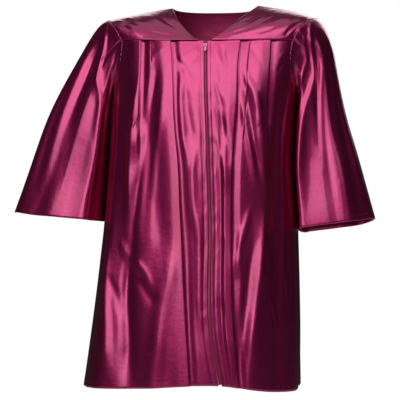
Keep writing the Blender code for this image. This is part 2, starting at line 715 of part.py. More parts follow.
def zip_slider(place, cutters):
    """Body of the slider with the bridge that the tab hangs on."""
    high = SLIDER_SIZE[2]
    bar, stretch, arch = BRIDGE_SIZE
    opening, clear = BRIDGE_HOLE
    base = block("zip_slider", SLIDER_SIZE, (0, 0, high / 2), place, robe)
    rounding = base.modifiers.new("rounding", "BEVEL")
    rounding.width = SLIDER_ROUNDING
    rounding.segments = 2
    bridge_size = (bar, stretch, arch + BRIDGE_SUNK)
    bridge = block("bridge", bridge_size, (0, 0, high + (arch - BRIDGE_SUNK) / 2), place, cutters)
    hole_size = (3 * bar, opening, 2 * clear)
    hole = block("bridge_hole", hole_size, (0, 0, high), place, cutters)
    for guide in (bridge, hole):
        guide.hide_render = True
        guide.display_type = "WIRE"
    cut = bridge.modifiers.new("eye", "BOOLEAN")
    cut.operation = "DIFFERENCE"
    cut.object = hole
    join = base.modifiers.new("bridge", "BOOLEAN")
    join.operation = "UNION"
    join.object = bridge
    paint(base, *PINK_METAL)


def outline(spline, points):
    spline.points.add(len(points) - 1)
    for point, (x, y) in zip(spline.points, points):
        point.co = (x, y, 0, 1)
    spline.use_cyclic_u = True


def pull_tab(place):
    """Flat tab with a window; its origin is on the bar of the window that hangs in the bridge."""
    half, high = TAB_WIDTH / 2, TAB_WINDOW[1]
    low = high - TAB_LENGTH
    ends = np.linspace(0, np.pi, 9)
    foot = [(half * np.cos(a), low + half * (1 - np.sin(a))) for a in ends]
    shape = bpy.data.curves.new("pull_tab", "CURVE")
    shape.dimensions = "2D"
    shape.fill_mode = "BOTH"
    shape.extrude = TAB_THICK / 2
    head = [(-half, 0), (-half + high, high), (half - high, high), (half, 0)]
    outline(shape.splines.new("POLY"), head + foot)
    wide, start, end = TAB_WINDOW
    wide = wide / 2
    outline(shape.splines.new("POLY"), [(-wide, -start), (wide, -start), (wide, -end), (-wide, -end)])
    thing = bpy.data.objects.new("pull_tab", shape)
    robe.objects.link(thing)
    thing.matrix_world = place
    paint(thing, *PINK_METAL)


cutters = bpy.data.collections.new("cutters")
bpy.context.scene.collection.children.link(cutters)
seat = Place(SLIDER_HEIGHT)
zip_coil()
zip_slider(seat.matrix(SLIDER_OUT), cutters)
pull_tab(seat.matrix(SLIDER_OUT + SLIDER_SIZE[2] + PIVOT_RISE, PIVOT_DOWN))
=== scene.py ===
# Choir robe in burgundy satin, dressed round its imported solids
# Metres, +Z up, the robe faces -Y. Turn is the angle round the body: 0 in front, 90 at +X

import math

import bmesh
import bpy
import numpy as np
from mathutils import Matrix, Vector


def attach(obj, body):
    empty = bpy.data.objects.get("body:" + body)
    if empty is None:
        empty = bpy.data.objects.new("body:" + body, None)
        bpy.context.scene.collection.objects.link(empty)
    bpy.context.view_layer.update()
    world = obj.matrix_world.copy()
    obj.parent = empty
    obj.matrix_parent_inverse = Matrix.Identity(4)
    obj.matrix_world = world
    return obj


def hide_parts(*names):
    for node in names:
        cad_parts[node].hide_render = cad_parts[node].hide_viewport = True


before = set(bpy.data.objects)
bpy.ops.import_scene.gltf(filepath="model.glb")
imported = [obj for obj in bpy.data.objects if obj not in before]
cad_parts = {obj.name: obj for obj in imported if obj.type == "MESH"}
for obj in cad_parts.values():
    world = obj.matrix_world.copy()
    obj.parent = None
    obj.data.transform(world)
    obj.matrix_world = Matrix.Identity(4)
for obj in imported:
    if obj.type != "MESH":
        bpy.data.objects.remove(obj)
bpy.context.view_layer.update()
print("frame loaded")


def placed(name, data):
    # an object in the scene, at the origin
    thing = bpy.data.objects.new(name, data)
    bpy.context.scene.collection.objects.link(thing)
    return thing


def newMaterial(name):
    material = bpy.data.materials.new(name)
    material.use_nodes = True
    return material, material.node_tree.nodes["Principled BSDF"]


# Camera, lights and floor

view = dict(distance=4.0, yaw=8.0, height=-0.353, aside=-0.0265, width=0.732, sensor=36.0)

studio = dict(
    surround=0.014,
    floorHeight=-1.15,
    floorRadius=4.6,
    # name: turn, height above the robe's middle, distance, width, tall, watts
    lamps={
        "frontBox": (-13, 1.05, 2.4, 2.6, 1.15, 17),
        "lowBox": (-13, 0.26, 2.4, 1.0, 0.45, 2.9),
        "rightBox": (33, 1.15, 2.4, 1.3, 0.9, 3.6),
        "topBox": (0, 2.0, 1.1, 2.4, 1.8, 22),
        "crownBox": (180, 2.3, 0.5, 2.4, 1.3, 4),
        "backBox": (176, 1.05, 2.4, 2.3, 1.15, 13),
    },
)


def makeCamera():
    turn = math.radians(view["yaw"])
    right = Vector((math.cos(turn), math.sin(turn), 0))
    ahead = Vector((-math.sin(turn), math.cos(turn), 0))
    data = bpy.data.cameras.new("photoCamera")
    data.sensor_width = view["sensor"]
    data.lens = view["sensor"] * view["distance"] / view["width"]
    camera = placed("photoCamera", data)
    camera.location = right * view["aside"] - ahead * view["distance"] + Vector((0, 0, view["height"]))
    camera.rotation_euler = (math.radians(90), 0, turn)
    bpy.context.scene.camera = camera


def makeLamps():
    for name, (turn, height, distance, width, tall, watts) in studio["lamps"].items():
        data = bpy.data.lights.new(name, "AREA")
        data.shape = "RECTANGLE"
        data.size = width
        data.size_y = tall
        data.energy = watts
        lamp = placed(name, data)
        angle = math.radians(turn)
        aim = Vector((0, 0, view["height"]))
        outward = Vector((math.sin(angle), -math.cos(angle), 0))
        lamp.location = aim + outward * distance + Vector((0, 0, height))
        lamp.rotation_euler = (aim - lamp.location).to_track_quat("-Z", "Y").to_euler()


def makeWorld():
    world = bpy.data.worlds.new("studioWorld")
    bpy.context.scene.world = world
    world.use_nodes = True
    nodes, links = world.node_tree.nodes, world.node_tree.links
    nodes.clear()
    out = nodes.new("ShaderNodeOutputWorld")
    mix = nodes.new("ShaderNodeMixShader")
    path = nodes.new("ShaderNodeLightPath")
    dim = nodes.new("ShaderNodeBackground")
    dim.inputs["Color"].default_value = (1.0, 0.97, 0.98, 1)
    dim.inputs["Strength"].default_value = studio["surround"]
    white = nodes.new("ShaderNodeBackground")
    white.inputs["Color"].default_value = (1, 1, 1, 1)
    links.new(path.outputs["Is Camera Ray"], mix.inputs["Fac"])
    links.new(dim.outputs["Background"], mix.inputs[1])
    links.new(white.outputs["Background"], mix.inputs[2])
    links.new(mix.outputs["Shader"], out.inputs["Surface"])
    bpy.context.scene.view_settings.view_transform = "Standard"


def makeFloor():
    bpy.ops.mesh.primitive_circle_add(
        vertices=96, radius=studio["floorRadius"], fill_type="NGON", location=(0, 0, studio["floorHeight"]))
    floor = bpy.context.object
    floor.name = "paleFloor"
    material, shader = newMaterial("paleFloor")
    shader.inputs["Base Color"].default_value = (0.78, 0.78, 0.79, 1)
    shader.inputs["Roughness"].default_value = 0.8
    floor.data.materials.append(material)


makeCamera()
makeLamps()
makeWorld()
makeFloor()
print("camera, lamps and floor set")


# Smooth curves through short tables

def curveThrough(knots, values):
    order = np.argsort(knots)
    knots = np.asarray(knots, float)[order]
    values = np.asarray(values, float)[order]
    count = len(knots)
    step = np.diff(knots)
    matrix = np.eye(count)
    right = np.zeros_like(values)
    for i in range(1, count - 1):
        matrix[i, i - 1:i + 2] = step[i - 1], 2 * (step[i - 1] + step[i]), step[i]
        right[i] = 6 * ((values[i + 1] - values[i]) / step[i] - (values[i] - values[i - 1]) / step[i - 1])
    bend = np.linalg.solve(matrix, right)

    def at(x):
        x = np.clip(np.asarray(x, float), knots[0], knots[-1])
        i = np.clip(np.searchsorted(knots, x, side="right") - 1, 0, count - 2)
        width, after, before = step[i], x - knots[i], knots[i + 1] - x
        if values.ndim > 1:
            width, after, before = width[..., None], after[..., None], before[..., None]
        curve = (bend[i] * before ** 3 + bend[i + 1] * after ** 3) / (6 * width)
        curve += (values[i] / width - bend[i] * width / 6) * before
        return curve + (values[i + 1] / width - bend[i + 1] * width / 6) * after

    return at


def pathThrough(points):
    length = np.concatenate([[0], np.cumsum(np.linalg.norm(np.diff(points, axis=0), axis=1))])
    return curveThrough(length / length[-1], points)


def ease(x):
    x = np.clip(x, 0, 1)
    return x * x * (3 - 2 * x)


def unit(vectors):
    return vectors / np.linalg.norm(vectors, axis=-1, keepdims=True)


driftCells = 61


def drift(x, y, seed):
    # soft uneven field from -1 to 1, one bump to each whole step of x and y
    table = np.random.default_rng(seed).uniform(-1, 1, (driftCells, driftCells))
    x, y = np.broadcast_arrays(x, y)
    i, j = np.floor(x).astype(int), np.floor(y).astype(int)
    u, v = ease(x - i), ease(y - j)
    left, right, low, high = i % driftCells, (i + 1) % driftCells, j % driftCells, (j + 1) % driftCells
    return (table[left, low] * (1 - u) + table[right, low] * u) * (1 - v) + (
        table[left, high] * (1 - u) + table[right, high] * u) * v


# Body of the robe: level sections, the lines of its edges and its large folds

body = dict(
    # height, middle x, half width, depth in front, depth behind
    sections=np.array([
        (-0.050, -0.002, 0.186, 0.100, 0.082), (-0.120, -0.009, 0.176, 0.117, 0.096),
        (-0.190, -0.016, 0.171, 0.124, 0.101), (-0.410, -0.026, 0.178, 0.130, 0.112),
        (-0.540, -0.032, 0.187, 0.138, 0.125), (-0.700, -0.042, 0.199, 0.150, 0.140),
    ]),
    squareness=0.05,
    frontCorner=51.0,
    backCorner=128.0,
    underarm=-0.172,
    backSeam=-0.078,
    hem=-0.6885,
    seamTop=0.0004,
    # turn, height
    frontSeam=np.array([(-60, -0.0630), (-30, -0.0655), (0, -0.0672), (30, -0.0670), (60, -0.0663)]),
    hemLine=np.array([
        (-180, -0.6880), (-135, -0.6900), (-90, -0.6920), (-50, -0.6895), (-10, -0.6855),
        (16, -0.6810), (35, -0.6890), (90, -0.6925), (135, -0.6890), (180, -0.6880),
    ]),
    foldStart=0.40,
    foldEnd=0.33,
    # turn and height at the top, the same at the bottom, spread in degrees, rise
    folds=np.array([
        (-34, -0.10, -36, -0.40, 4.0, 0.0030), (-24, -0.16, -20, -0.44, 4.5, -0.0030),
        (-52, -0.24, -44, -0.72, 6.5, 0.0055), (-36, -0.38, -22, -0.72, 7.0, -0.0050),
        (-12, -0.40, -12, -0.72, 4.0, 0.0035), (28, -0.10, 42, -0.38, 4.5, 0.0040),
        (40, -0.34, 36, -0.56, 5.0, 0.0040), (38, -0.50, 32, -0.72, 5.0, 0.0045),
        (54, -0.28, 52, -0.72, 6.0, -0.0045), (72, -0.26, 70, -0.72, 7.0, 0.0050),
        (-74, -0.26, -70, -0.72, 7.0, -0.0045), (96, -0.28, 92, -0.72, 7.0, -0.0040),
        (-96, -0.28, -94, -0.72, 7.0, 0.0045), (118, -0.20, 114, -0.72, 7.0, 0.0050),
        (-116, -0.20, -114, -0.72, 7.0, -0.0045), (150, -0.24, 146, -0.72, 6.0, 0.0045),
        (-150, -0.24, -148, -0.72, 6.0, 0.0045), (-180, -0.20, -179, -0.72, 6.5, 0.0045),
        (180, -0.20, 181, -0.72, 6.5, 0.0045),
    ]),
    degree=0.0031,  # metres of cloth to a degree of turn, for the creases' widths
    slack=0.00012,  # rise of the small uneven wrinkles
)

# Creases of the body: width and rise in mm, then the path in turn and height in mm
bodyCreases = [
    (7, 2.2, [(-33, -120), (-34, -151), (-36, -213), (-37, -292), (-34, -399)]),
    (8, -2.0, [(-21.6, -100), (-24.8, -179), (-26, -245), (-29, -300)]),
    (9, -2.2, [(-26, -250), (-29.6, -327), (-31, -400), (-30, -520)]),
    (8, 2.0, [(-17, -110), (-18, -190), (-20, -270), (-21, -360), (-20, -460)]),
    (6, -1.6, [(-15, -90), (-9, -115), (-1.2, -157)]),
    (8, -2.2, [(-7.5, -130), (-5, -190), (-2.8, -225), (-1, -270)]),
    (5, 1.4, [(-10, -120), (-8.5, -180), (-6, -240), (-3.5, -290)]),
    (6, 1.5, [(1.5, -250), (0, -300), (1, -350), (3, -430)]),
    (6, -1.8, [(12, -190), (15, -230), (18.5, -275), (19, -300)]),
    (5, 1.4, [(10, -215), (13, -260), (16, -300), (18, -350)]),
    (8, 3.2, [(17.6, -95), (24, -135), (28.8, -157), (34, -193), (38.8, -247), (42, -353)]),
    (6, 2.4, [(21.5, -140), (22.4, -167), (28, -229), (32.4, -291), (36, -350)]),
    (6, -2.4, [(20.5, -110), (25, -170), (31, -230), (36, -290), (40, -350)]),
    (9, 3.4, [(41, -360), (36.8, -499), (34.8, -543), (32, -601), (31.6, -700)]),
    (7, 2.0, [(31.5, -355), (28, -400), (24.8, -433), (22.4, -500)]),
    (9, -2.4, [(34, -400), (31, -470), (28, -560), (27, -700)]),
    (10, 3.8, [(-50.4, -400), (-47.6, -513), (-42.8, -581), (-36, -700)]),
    (11, -3.6, [(-34, -420), (-32, -520), (-27, -610), (-25, -700)]),
    (12, 2.6, [(-8.4, -420), (-8.8, -513), (-9.6, -600), (-9, -680)]),
    (10, 2.2, [(4, -340), (6, -477), (9.2, -609)]),
    (9, -1.6, [(-2, -330), (0, -420), (2, -520), (6, -640)]),
    (10, -2.4, [(48, -120), (50, -250), (49, -400), (46, -560)]),
    (8, 1.6, [(59, -300), (59, -421), (58, -478), (54.8, -620)]),
    (3.5, 0.8, [(5, -74), (8, -100), (12, -128)]),
    (3.5, -0.8, [(8, -72), (11, -104), (15, -140)]),
    (3, 0.7, [(7, -112), (10, -150), (15, -186)]),
    (3, -0.7, [(6.5, -135), (10, -168), (14, -200)]),
    (4, 0.9, [(-3, -76), (-8, -96), (-14, -108)]),
    (4, -0.8, [(-1, -88), (-6, -112), (-12, -124)]),
    (3.5, 0.7, [(-17, -76), (-24, -92), (-30, -118)]),
    (3.5, -0.8, [(22, -74), (27, -96), (34, -118)]),
    (3.5, 0.8, [(-50, -84), (-45, -90), (-40, -100)]),
    (3.5, -0.8, [(-50, -100), (-45, -108), (-41, -122)]),
    (3.5, 0.8, [(-50, -118), (-46, -128), (-43, -146)]),
    (3.5, 0.8, [(50, -84), (46, -92), (42, -104)]),
    (3.5, -0.8, [(50, -104), (46, -114), (43, -130)]),
    (9, 1.2, [(-42, -415), (-34, -452), (-20, -486)]),
    (9, -1.2, [(-34, -470), (-22, -505), (-12, -548)]),
    (6, 0.8, [(-28, -455), (-20, -488), (-16, -530)]),
    (9, 1.2, [(-58, -535), (-50, -590), (-40, -645)]),
    (8, -1.0, [(-48, -480), (-38, -525), (-31, -575)]),
    (8, 1.0, [(14, -395), (21, -446), (27, -498)]),
    (8, -1.0, [(13, -515), (19, -566), (24, -612)]),
    (5, 1.0, [(44, -520), (50, -556), (54, -600)]),
    (5, -1.0, [(56, -480), (60, -520), (62, -570)]),
    (5, 1.0, [(140, -420), (146, -446), (152, -470)]),
    (5, -1.0, [(-136, -440), (-142, -470), (-150, -492)]),
    (5, 1.0, [(166, -500), (172, -530), (178, -548)]),
    (10, 2.0, [(-60, -260), (-62, -380), (-58, -520)]),
    (10, -2.4, [(-66, -300), (-67, -460), (-62, -700)]),
    (10, 2.6, [(78, -320), (80, -500), (77, -700)]),
    (10, -2.4, [(-84, -260), (-86, -420), (-84, -700)]),
    (10, 2.4, [(104, -240), (103, -420), (100, -700)]),
    (10, 2.4, [(-105, -250), (-103, -450), (-104, -700)]),
    (9, 2.2, [(128, -130), (127, -260), (125, -420), (126, -560)]),
    (8, -2.0, [(133, -250), (131, -420), (130, -700)]),
    (9, 2.2, [(-126, -150), (-125, -300), (-127, -480)]),
    (9, -2.2, [(-131, -320), (-129, -500), (-127, -700)]),
    (8, 2.2, [(152, -120), (153, -240), (150, -400), (151, -560)]),
    (8, -2.0, [(148, -300), (145, -480), (144, -700)]),
    (8, 2.2, [(-151, -110), (-153, -260), (-152, -430)]),
    (8, -2.0, [(-145, -260), (-146, -440), (-144, -700)]),
    (8, 1.9, [(171, -110), (173, -240), (170, -380), (168, -540)]),
    (8, -1.9, [(-172, -130), (-170, -270), (-172, -420), (-170, -600)]),
    (7, 1.7, [(-168, -300), (-166, -480), (-165, -700)]),
    (7, 1.7, [(177, -380), (178, -520), (176, -700)]),
]


crease = dict(ends=0.3, narrow=0.7, widen=0.5)


def creaseRise(across, down, creases):
    # across and down in metres on the cloth; each crease is a ridge or trough along its path
    rise = np.zeros(np.broadcast(across, down).shape)
    for width, lift, path in creases:
        spots = np.asarray(path, float)
        reach = np.linalg.norm(np.diff(spots, axis=0), axis=1)
        whole = reach.sum()
        nearest = np.full(rise.shape, np.inf)
        share = np.zeros(rise.shape)
        before = 0.0
        for a, b, long in zip(spots[:-1], spots[1:], reach):
            way = (b - a) / long
            along = np.clip((across - a[0]) * way[0] + (down - a[1]) * way[1], 0, long)
            gap = np.hypot(across - a[0] - along * way[0], down - a[1] - along * way[1])
            closer = gap < nearest
            nearest = np.where(closer, gap, nearest)
            share = np.where(closer, (before + along) / whole, share)
            before += long
        ends = ease(share / crease["ends"]) * ease((1 - share) / crease["ends"])
        spread = width * (crease["narrow"] + crease["widen"] * share)
        rise = rise + lift * np.exp(-(nearest / spread) ** 2) * ends
    return rise


def inMetres(creases, across, down, strength=1.0):
    # widths and rises from mm, paths by the metres in one step across and one step down
    table = []
    for width, lift, path in creases:
        table.append((width / 1000, strength * lift / 1000, [(x * across, y * down) for x, y in path]))
    return table


sectionAt = curveThrough(body["sections"][:, 0], body["sections"][:, 1:])
frontSeamAt = curveThrough(body["frontSeam"][:, 0], body["frontSeam"][:, 1])
hemAt = curveThrough(body["hemLine"][:, 0], body["hemLine"][:, 1])
creasesOnBody = inMetres(bodyCreases, body["degree"], 0.001)


def plainBody(turn, height):
    angle = np.radians(turn)
    middle, half, front, back = np.moveaxis(sectionAt(height), -1, 0)
    square = body["squareness"]
    side = (np.sin(angle) + square * np.sin(3 * angle)) / (1 - square)
    deep = (np.cos(angle) - square * np.cos(3 * angle)) / (1 - square)
    depth = np.where(np.cos(angle) > 0, front, back)
    return np.stack([middle + half * side, -depth * deep, height + 0 * angle], -1)


def bodyFold(turn, height):
    rise = np.zeros(np.broadcast(turn, height).shape)
    for turnTop, top, turnLow, low, spread, lift in body["folds"]:
        down = (top - height) / (top - low)
        aside = (turn - (turnTop + (turnLow - turnTop) * down)) / spread
        end = 1.0 if low < body["hem"] else ease((1 - down) / body["foldEnd"])
        rise = rise + lift * np.exp(-aside ** 2) * ease(down / body["foldStart"]) * end
    return rise


wrinkle = dict(
    # cells across and down the cloth in metres
    lean=0.05, waver=0.006, waverCell=(0.09, 0.08), cell=(0.013, 0.085),
    fine=0.45, fineCell=(0.0065, 0.045), patchCell=(0.06, 0.10), patches=(0.55, 0.45),
)


def wrinkles(across, down, size, seed):
    # small uneven folds, longer down the cloth than across it
    waverDown, waverAcross = wrinkle["waverCell"]
    (wide, long), (fineWide, fineLong) = wrinkle["cell"], wrinkle["fineCell"]
    (patchWide, patchLong), (least, more) = wrinkle["patchCell"], wrinkle["patches"]
    waver = wrinkle["waver"] * drift(down / waverDown, across / waverAcross, seed + 5)
    lean = across + wrinkle["lean"] * down + waver
    rise = drift(lean / wide, down / long, seed)
    rise = rise + wrinkle["fine"] * drift(lean / fineWide, down / fineLong, seed + 1)
    return size * rise * (least + more * drift(across / patchWide, down / patchLong, seed + 2))


def bodySkin(turn, height, out=0.0, creased=1.0):
    turn, height, out = np.broadcast_arrays(np.asarray(turn, float), height, out)
    aside = plainBody(turn + 0.5, height) - plainBody(turn - 0.5, height)
    along = plainBody(turn, height + 0.001) - plainBody(turn, height - 0.001)
    facing = np.cross(aside, along)
    facing[..., 2] = 0
    facing = unit(facing)
    rise = out + bodyFold(turn, height)
    if creased:
        across = turn * body["degree"]
        rise = rise + creased * creaseRise(across, height, creasesOnBody)
        rise = rise + creased * wrinkles(across, height, body["slack"], 3)
    return plainBody(turn, height) + facing * rise[..., None]


def metresPerDegree(turn, height):
    return np.linalg.norm(plainBody(turn + 0.5, height) - plainBody(turn - 0.5, height), axis=-1)


# Knife pleats: run along the cloth, rise off the body, the fold's edge at run 0

pleat = dict(
    crest=0.93, crestRise=0.07, openHip=0.8, openTrail=0.2, dipFrom=0.003,
    rise=0.0040, tuck=0.0080, step=0.0010, lead=0.042, trail=0.018, hip=0.0020, dip=0.0030,
    tuckShare=0.42, hipShare=0.62, edgeShare=0.72, innerShare=0.55, trailShare=0.50,
    fadeEnd=-0.315, fadeRun=0.185,
    lines=(10, 4, 6, 4, 5, 12),  # columns over the climb, top, fold, underside, inner fold, trail
)


def pleatProfile(strength, lead, trail):
    top = pleat["rise"]
    bend = top / 4
    tuck = min(pleat["tuck"], pleat["tuckShare"] * lead) * ease(3 * strength - 2) + pleat["step"]
    folded = ease(3 * strength - 1)
    hip = min(tuck + pleat["hip"], pleat["hipShare"] * lead)
    climb, flat, fold, under, inner, settle = [
        np.linspace(0, 1, n + 1)[(0 if i == 0 else 1):] for i, n in enumerate(pleat["lines"])]
    run = np.concatenate([
        -lead + (lead - hip) * climb, -hip + (hip - bend) * flat, -bend + bend * np.sin(np.pi * fold),
        -bend - (tuck - bend) * under, -tuck - bend * np.sin(np.pi * inner), -tuck + (tuck + trail) * settle])
    start = pleat["dipFrom"]
    past = np.clip(((tuck + trail) * settle - tuck + start) / (trail + start), 0, 1)
    # 6.75 brings the curve's highest value to 1
    sunk = pleat["dip"] * 6.75 * past * (1 - past) ** 2
    crest = pleat["crest"]
    rise = np.concatenate([
        crest * top * ease(climb), top * (crest + pleat["crestRise"] * flat),
        top - bend + bend * np.cos(np.pi * fold),
        top / 2 + 0 * under, top / 4 + top / 4 * np.cos(np.pi * inner), -sunk])
    openRun = np.linspace(-lead, trail, len(run))
    climbing = crest * top * ease((openRun + lead) / (lead - hip))
    brow = pleat["openHip"] * hip
    falling = top * (1 - ease((openRun + brow) / (brow + pleat["openTrail"] * trail)))
    openRise = np.where(openRun < -brow, climbing, np.minimum(climbing, falling))
    run = openRun + (run - openRun) * folded
    rise = openRise + (rise - openRise) * folded
    return run, rise * ease(3 * strength)


def acrossRow(height, first, last, pleats, plain):
    # turn and rise of every column of one row, from the first edge to the last
    turns, rises = [], []
    edges = [first] + [line(height) for line, direction, strength in pleats] + [last]
    start = first
    for i, (line, direction, strength) in enumerate(pleats):
        edge = edges[i + 1]
        degree = float(metresPerDegree(edge, height))
        before = (edge - edges[i]) * degree
        after = (edges[i + 2] - edge) * degree
        lead, trail = (before, after) if direction > 0 else (after, before)
        share = pleat["edgeShare"] if i in (0, len(pleats) - 1) else pleat["innerShare"]
        lead, trail = min(pleat["lead"], share * lead), min(pleat["trail"], pleat["trailShare"] * trail)
        run, rise = pleatProfile(strength(height), lead, trail)
        if direction < 0:
            run, rise = -run[::-1], rise[::-1]
        local = edge + run / degree
        level = list(np.linspace(start, local[0], plain[i] + 1)[min(i, 1):-1])
        turns += level + list(local)
        rises += [0.0] * len(level) + list(rise)
        start = local[-1]
    turns += list(np.linspace(start, last, plain[-1] + 1)[1:])
    rises += [0.0] * plain[-1]
    return turns, rises


def always(height):
    return 1.0


def fading(height):
    return float(ease((height - pleat["fadeEnd"]) / pleat["fadeRun"]))


# Rows of a panel, and the turned-up hem at its foot

rows = dict(armhole=34, below=128, hemTurn=0.0005, hemDeep=0.011, hemLip=0.0003, hemFirst=0.0015)


def armholeTurn(fraction, corner):
    return 90 + (corner - 90) * np.cos(fraction * np.pi / 2)


def armholeHeight(fraction, top):
    return top + (body["underarm"] - top) * np.sin(fraction * np.pi / 2)


def panelRows(top, corner):
    table = []
    for step in np.linspace(0, 1, rows["armhole"]):
        table.append((armholeHeight(step, top), armholeTurn(step, corner), 1 - step, 0.0))
    for step in np.linspace(0, 1, rows["below"] + 1)[1:]:
        table.append((body["underarm"] + (body["hem"] - body["underarm"]) * step, 90.0, 0.0, step ** 2))
    return table


def gapTurn(turn, height, metres):
    return metres / float(metresPerDegree(turn, height))


def turnedUp(grid, outward):
    # the raw edge goes round inside and up again behind the cloth
    edge, above = grid[-1], grid[-1 - 3]
    up = unit(above - edge)
    inside = -outward * rows["hemTurn"]
    more = [edge + 0.5 * inside - up * rows["hemLip"]]
    for lift in (rows["hemFirst"], 0.5 * rows["hemDeep"], rows["hemDeep"]):
        more.append(edge + inside + up * lift)
    return np.concatenate([grid, np.array(more)])


# Fronts

fronts = dict(
    calm=(0.004, 0.014), slitShare=0.9, grooveWide=0.0016, puckerReach=2.6,
    puckerCell=0.014, puckerFine=0.6, puckerFineCell=(0.019, 0.01),
    slit=0.0030,
    tape=0.0115,
    # height, turn
    zipLine=np.array([
        (-0.067, 0.4), (-0.158, 3.8), (-0.229, 6.4), (-0.291, 7.8), (-0.353, 8.8),
        (-0.442, 9.6), (-0.530, 10.2), (-0.591, 11.8), (-0.639, 14.2), (-0.690, 17.4),
    ]),
    leftInner=np.array([
        (-0.067, -16.3), (-0.139, -13.2), (-0.229, -9.8), (-0.282, -7.4), (-0.353, -5.6),
        (-0.424, -3.8), (-0.512, -1.4), (-0.600, 1.2), (-0.690, 4.0),
    ]),
    rightInner=np.array([
        (-0.067, 17.2), (-0.104, 17.6), (-0.140, 19.0), (-0.176, 20.2), (-0.229, 20.4),
        (-0.353, 20.0), (-0.424, 20.2), (-0.512, 21.0), (-0.600, 23.0), (-0.690, 26.6),
    ]),
    leftOuter=np.array([(-0.067, -33.4), (-0.156, -32.4), (-0.250, -31.0), (-0.690, -28.0)]),
    rightOuter=np.array([(-0.067, 33.8), (-0.104, 36.0), (-0.175, 39.0), (-0.300, 41.0), (-0.690, 46.0)]),
    leftPlain=[50, 14, 12],
    rightPlain=[12, 14, 46],
    slitColumns=9,
    grooveAside=0.0058,
    groove=0.0005,
    pucker=0.00028,
)

zipTurn = curveThrough(fronts["zipLine"][:, 0], fronts["zipLine"][:, 1])


def frontGrid(side):
    seam = float(frontSeamAt(0))
    word = "left" if side < 0 else "right"
    inner, outer = fronts[word + "Inner"], fronts[word + "Outer"]
    lines = ((outer, fading), (inner, always))
    pleats = [(curveThrough(line[:, 0], line[:, 1]), 1, strength) for line, strength in lines]
    if side > 0:
        pleats.reverse()
    turnRows, heightRows, riseRows = [], [], []
    for height, edge, nearTop, nearHem in panelRows(seam, body["frontCorner"]):
        middle = float(zipTurn(height))
        slit = middle + side * gapTurn(middle, height, fronts["slit"])
        tape = middle + side * gapTurn(middle, height, fronts["tape"])
        first, last = (side * edge, tape) if side < 0 else (tape, side * edge)
        turns, rises = acrossRow(height, first, last, pleats, fronts[word + "Plain"])
        strip = list(np.linspace(tape, slit, fronts["slitColumns"] + 1)[1:])
        if side < 0:
            turns, rises = turns + strip, rises + [0.0] * len(strip)
        else:
            turns, rises = strip[::-1] + turns, [0.0] * len(strip) + rises
        turns = np.array(turns)
        level = height + nearTop * (frontSeamAt(turns) - seam) + nearHem * (hemAt(turns) - body["hem"])
        turnRows.append(turns)
        heightRows.append(level - nearTop * body["seamTop"])
        riseRows.append(rises)
    turns, levels, rises = np.array(turnRows), np.array(heightRows), np.array(riseRows)
    # creases die out towards the zip, where the tape holds the cloth flat
    fromZip = np.abs(turns - zipTurn(levels)) * body["degree"]
    calm = ease((fromZip - fronts["calm"][0]) / fronts["calm"][1])
    fineDown, fineAcross = fronts["puckerFineCell"]
    stitched = (fromZip - fronts["slit"] * fronts["slitShare"] - fronts["grooveAside"]) / fronts["grooveWide"]
    puckered = drift(levels / fronts["puckerCell"], 0 * levels + side, 81)
    puckered = puckered + fronts["puckerFine"] * drift(levels / fineDown, fromZip / fineAcross, 82)
    near = np.exp(-(stitched / fronts["puckerReach"]) ** 2)
    rises = rises - fronts["groove"] * np.exp(-stitched ** 2) + fronts["pucker"] * puckered * near
    still = bodySkin(turns, levels, rises, 0)
    return still + (bodySkin(turns, levels, rises) - still) * calm[..., None]


# Back

back = dict(
    # name: pleat direction, (height, turn) at its top and foot
    lines={
        "rightOuter": (-1, np.array([(-0.067, 139.0), (-0.690, 136.0)])),
        "rightInner": (-1, np.array([(-0.067, 162.0), (-0.690, 158.0)])),
        "leftInner": (1, np.array([(-0.067, 198.0), (-0.690, 200.0)])),
        "leftOuter": (1, np.array([(-0.067, 221.0), (-0.690, 227.0)])),
    },
    plain=[28, 8, 14, 8, 28],
)


def wrapped(turns):
    return np.where(turns > 180, turns - 360, turns)


def backGrid():
    pleats = [(curveThrough(table[:, 0], table[:, 1]), way, always) for way, table in back["lines"].values()]
    turnRows, heightRows, riseRows = [], [], []
    for height, edge, nearTop, nearHem in panelRows(body["backSeam"], 180 - body["backCorner"]):
        turns, rises = acrossRow(height, 180 - edge, 180 + edge, pleats, back["plain"])
        turns = wrapped(np.array(turns))
        turnRows.append(turns)
        heightRows.append(height + nearHem * (hemAt(turns) - body["hem"]) - nearTop * body["seamTop"])
        riseRows.append(rises)
    return bodySkin(np.array(turnRows), np.array(heightRows), np.array(riseRows))


# Yoke

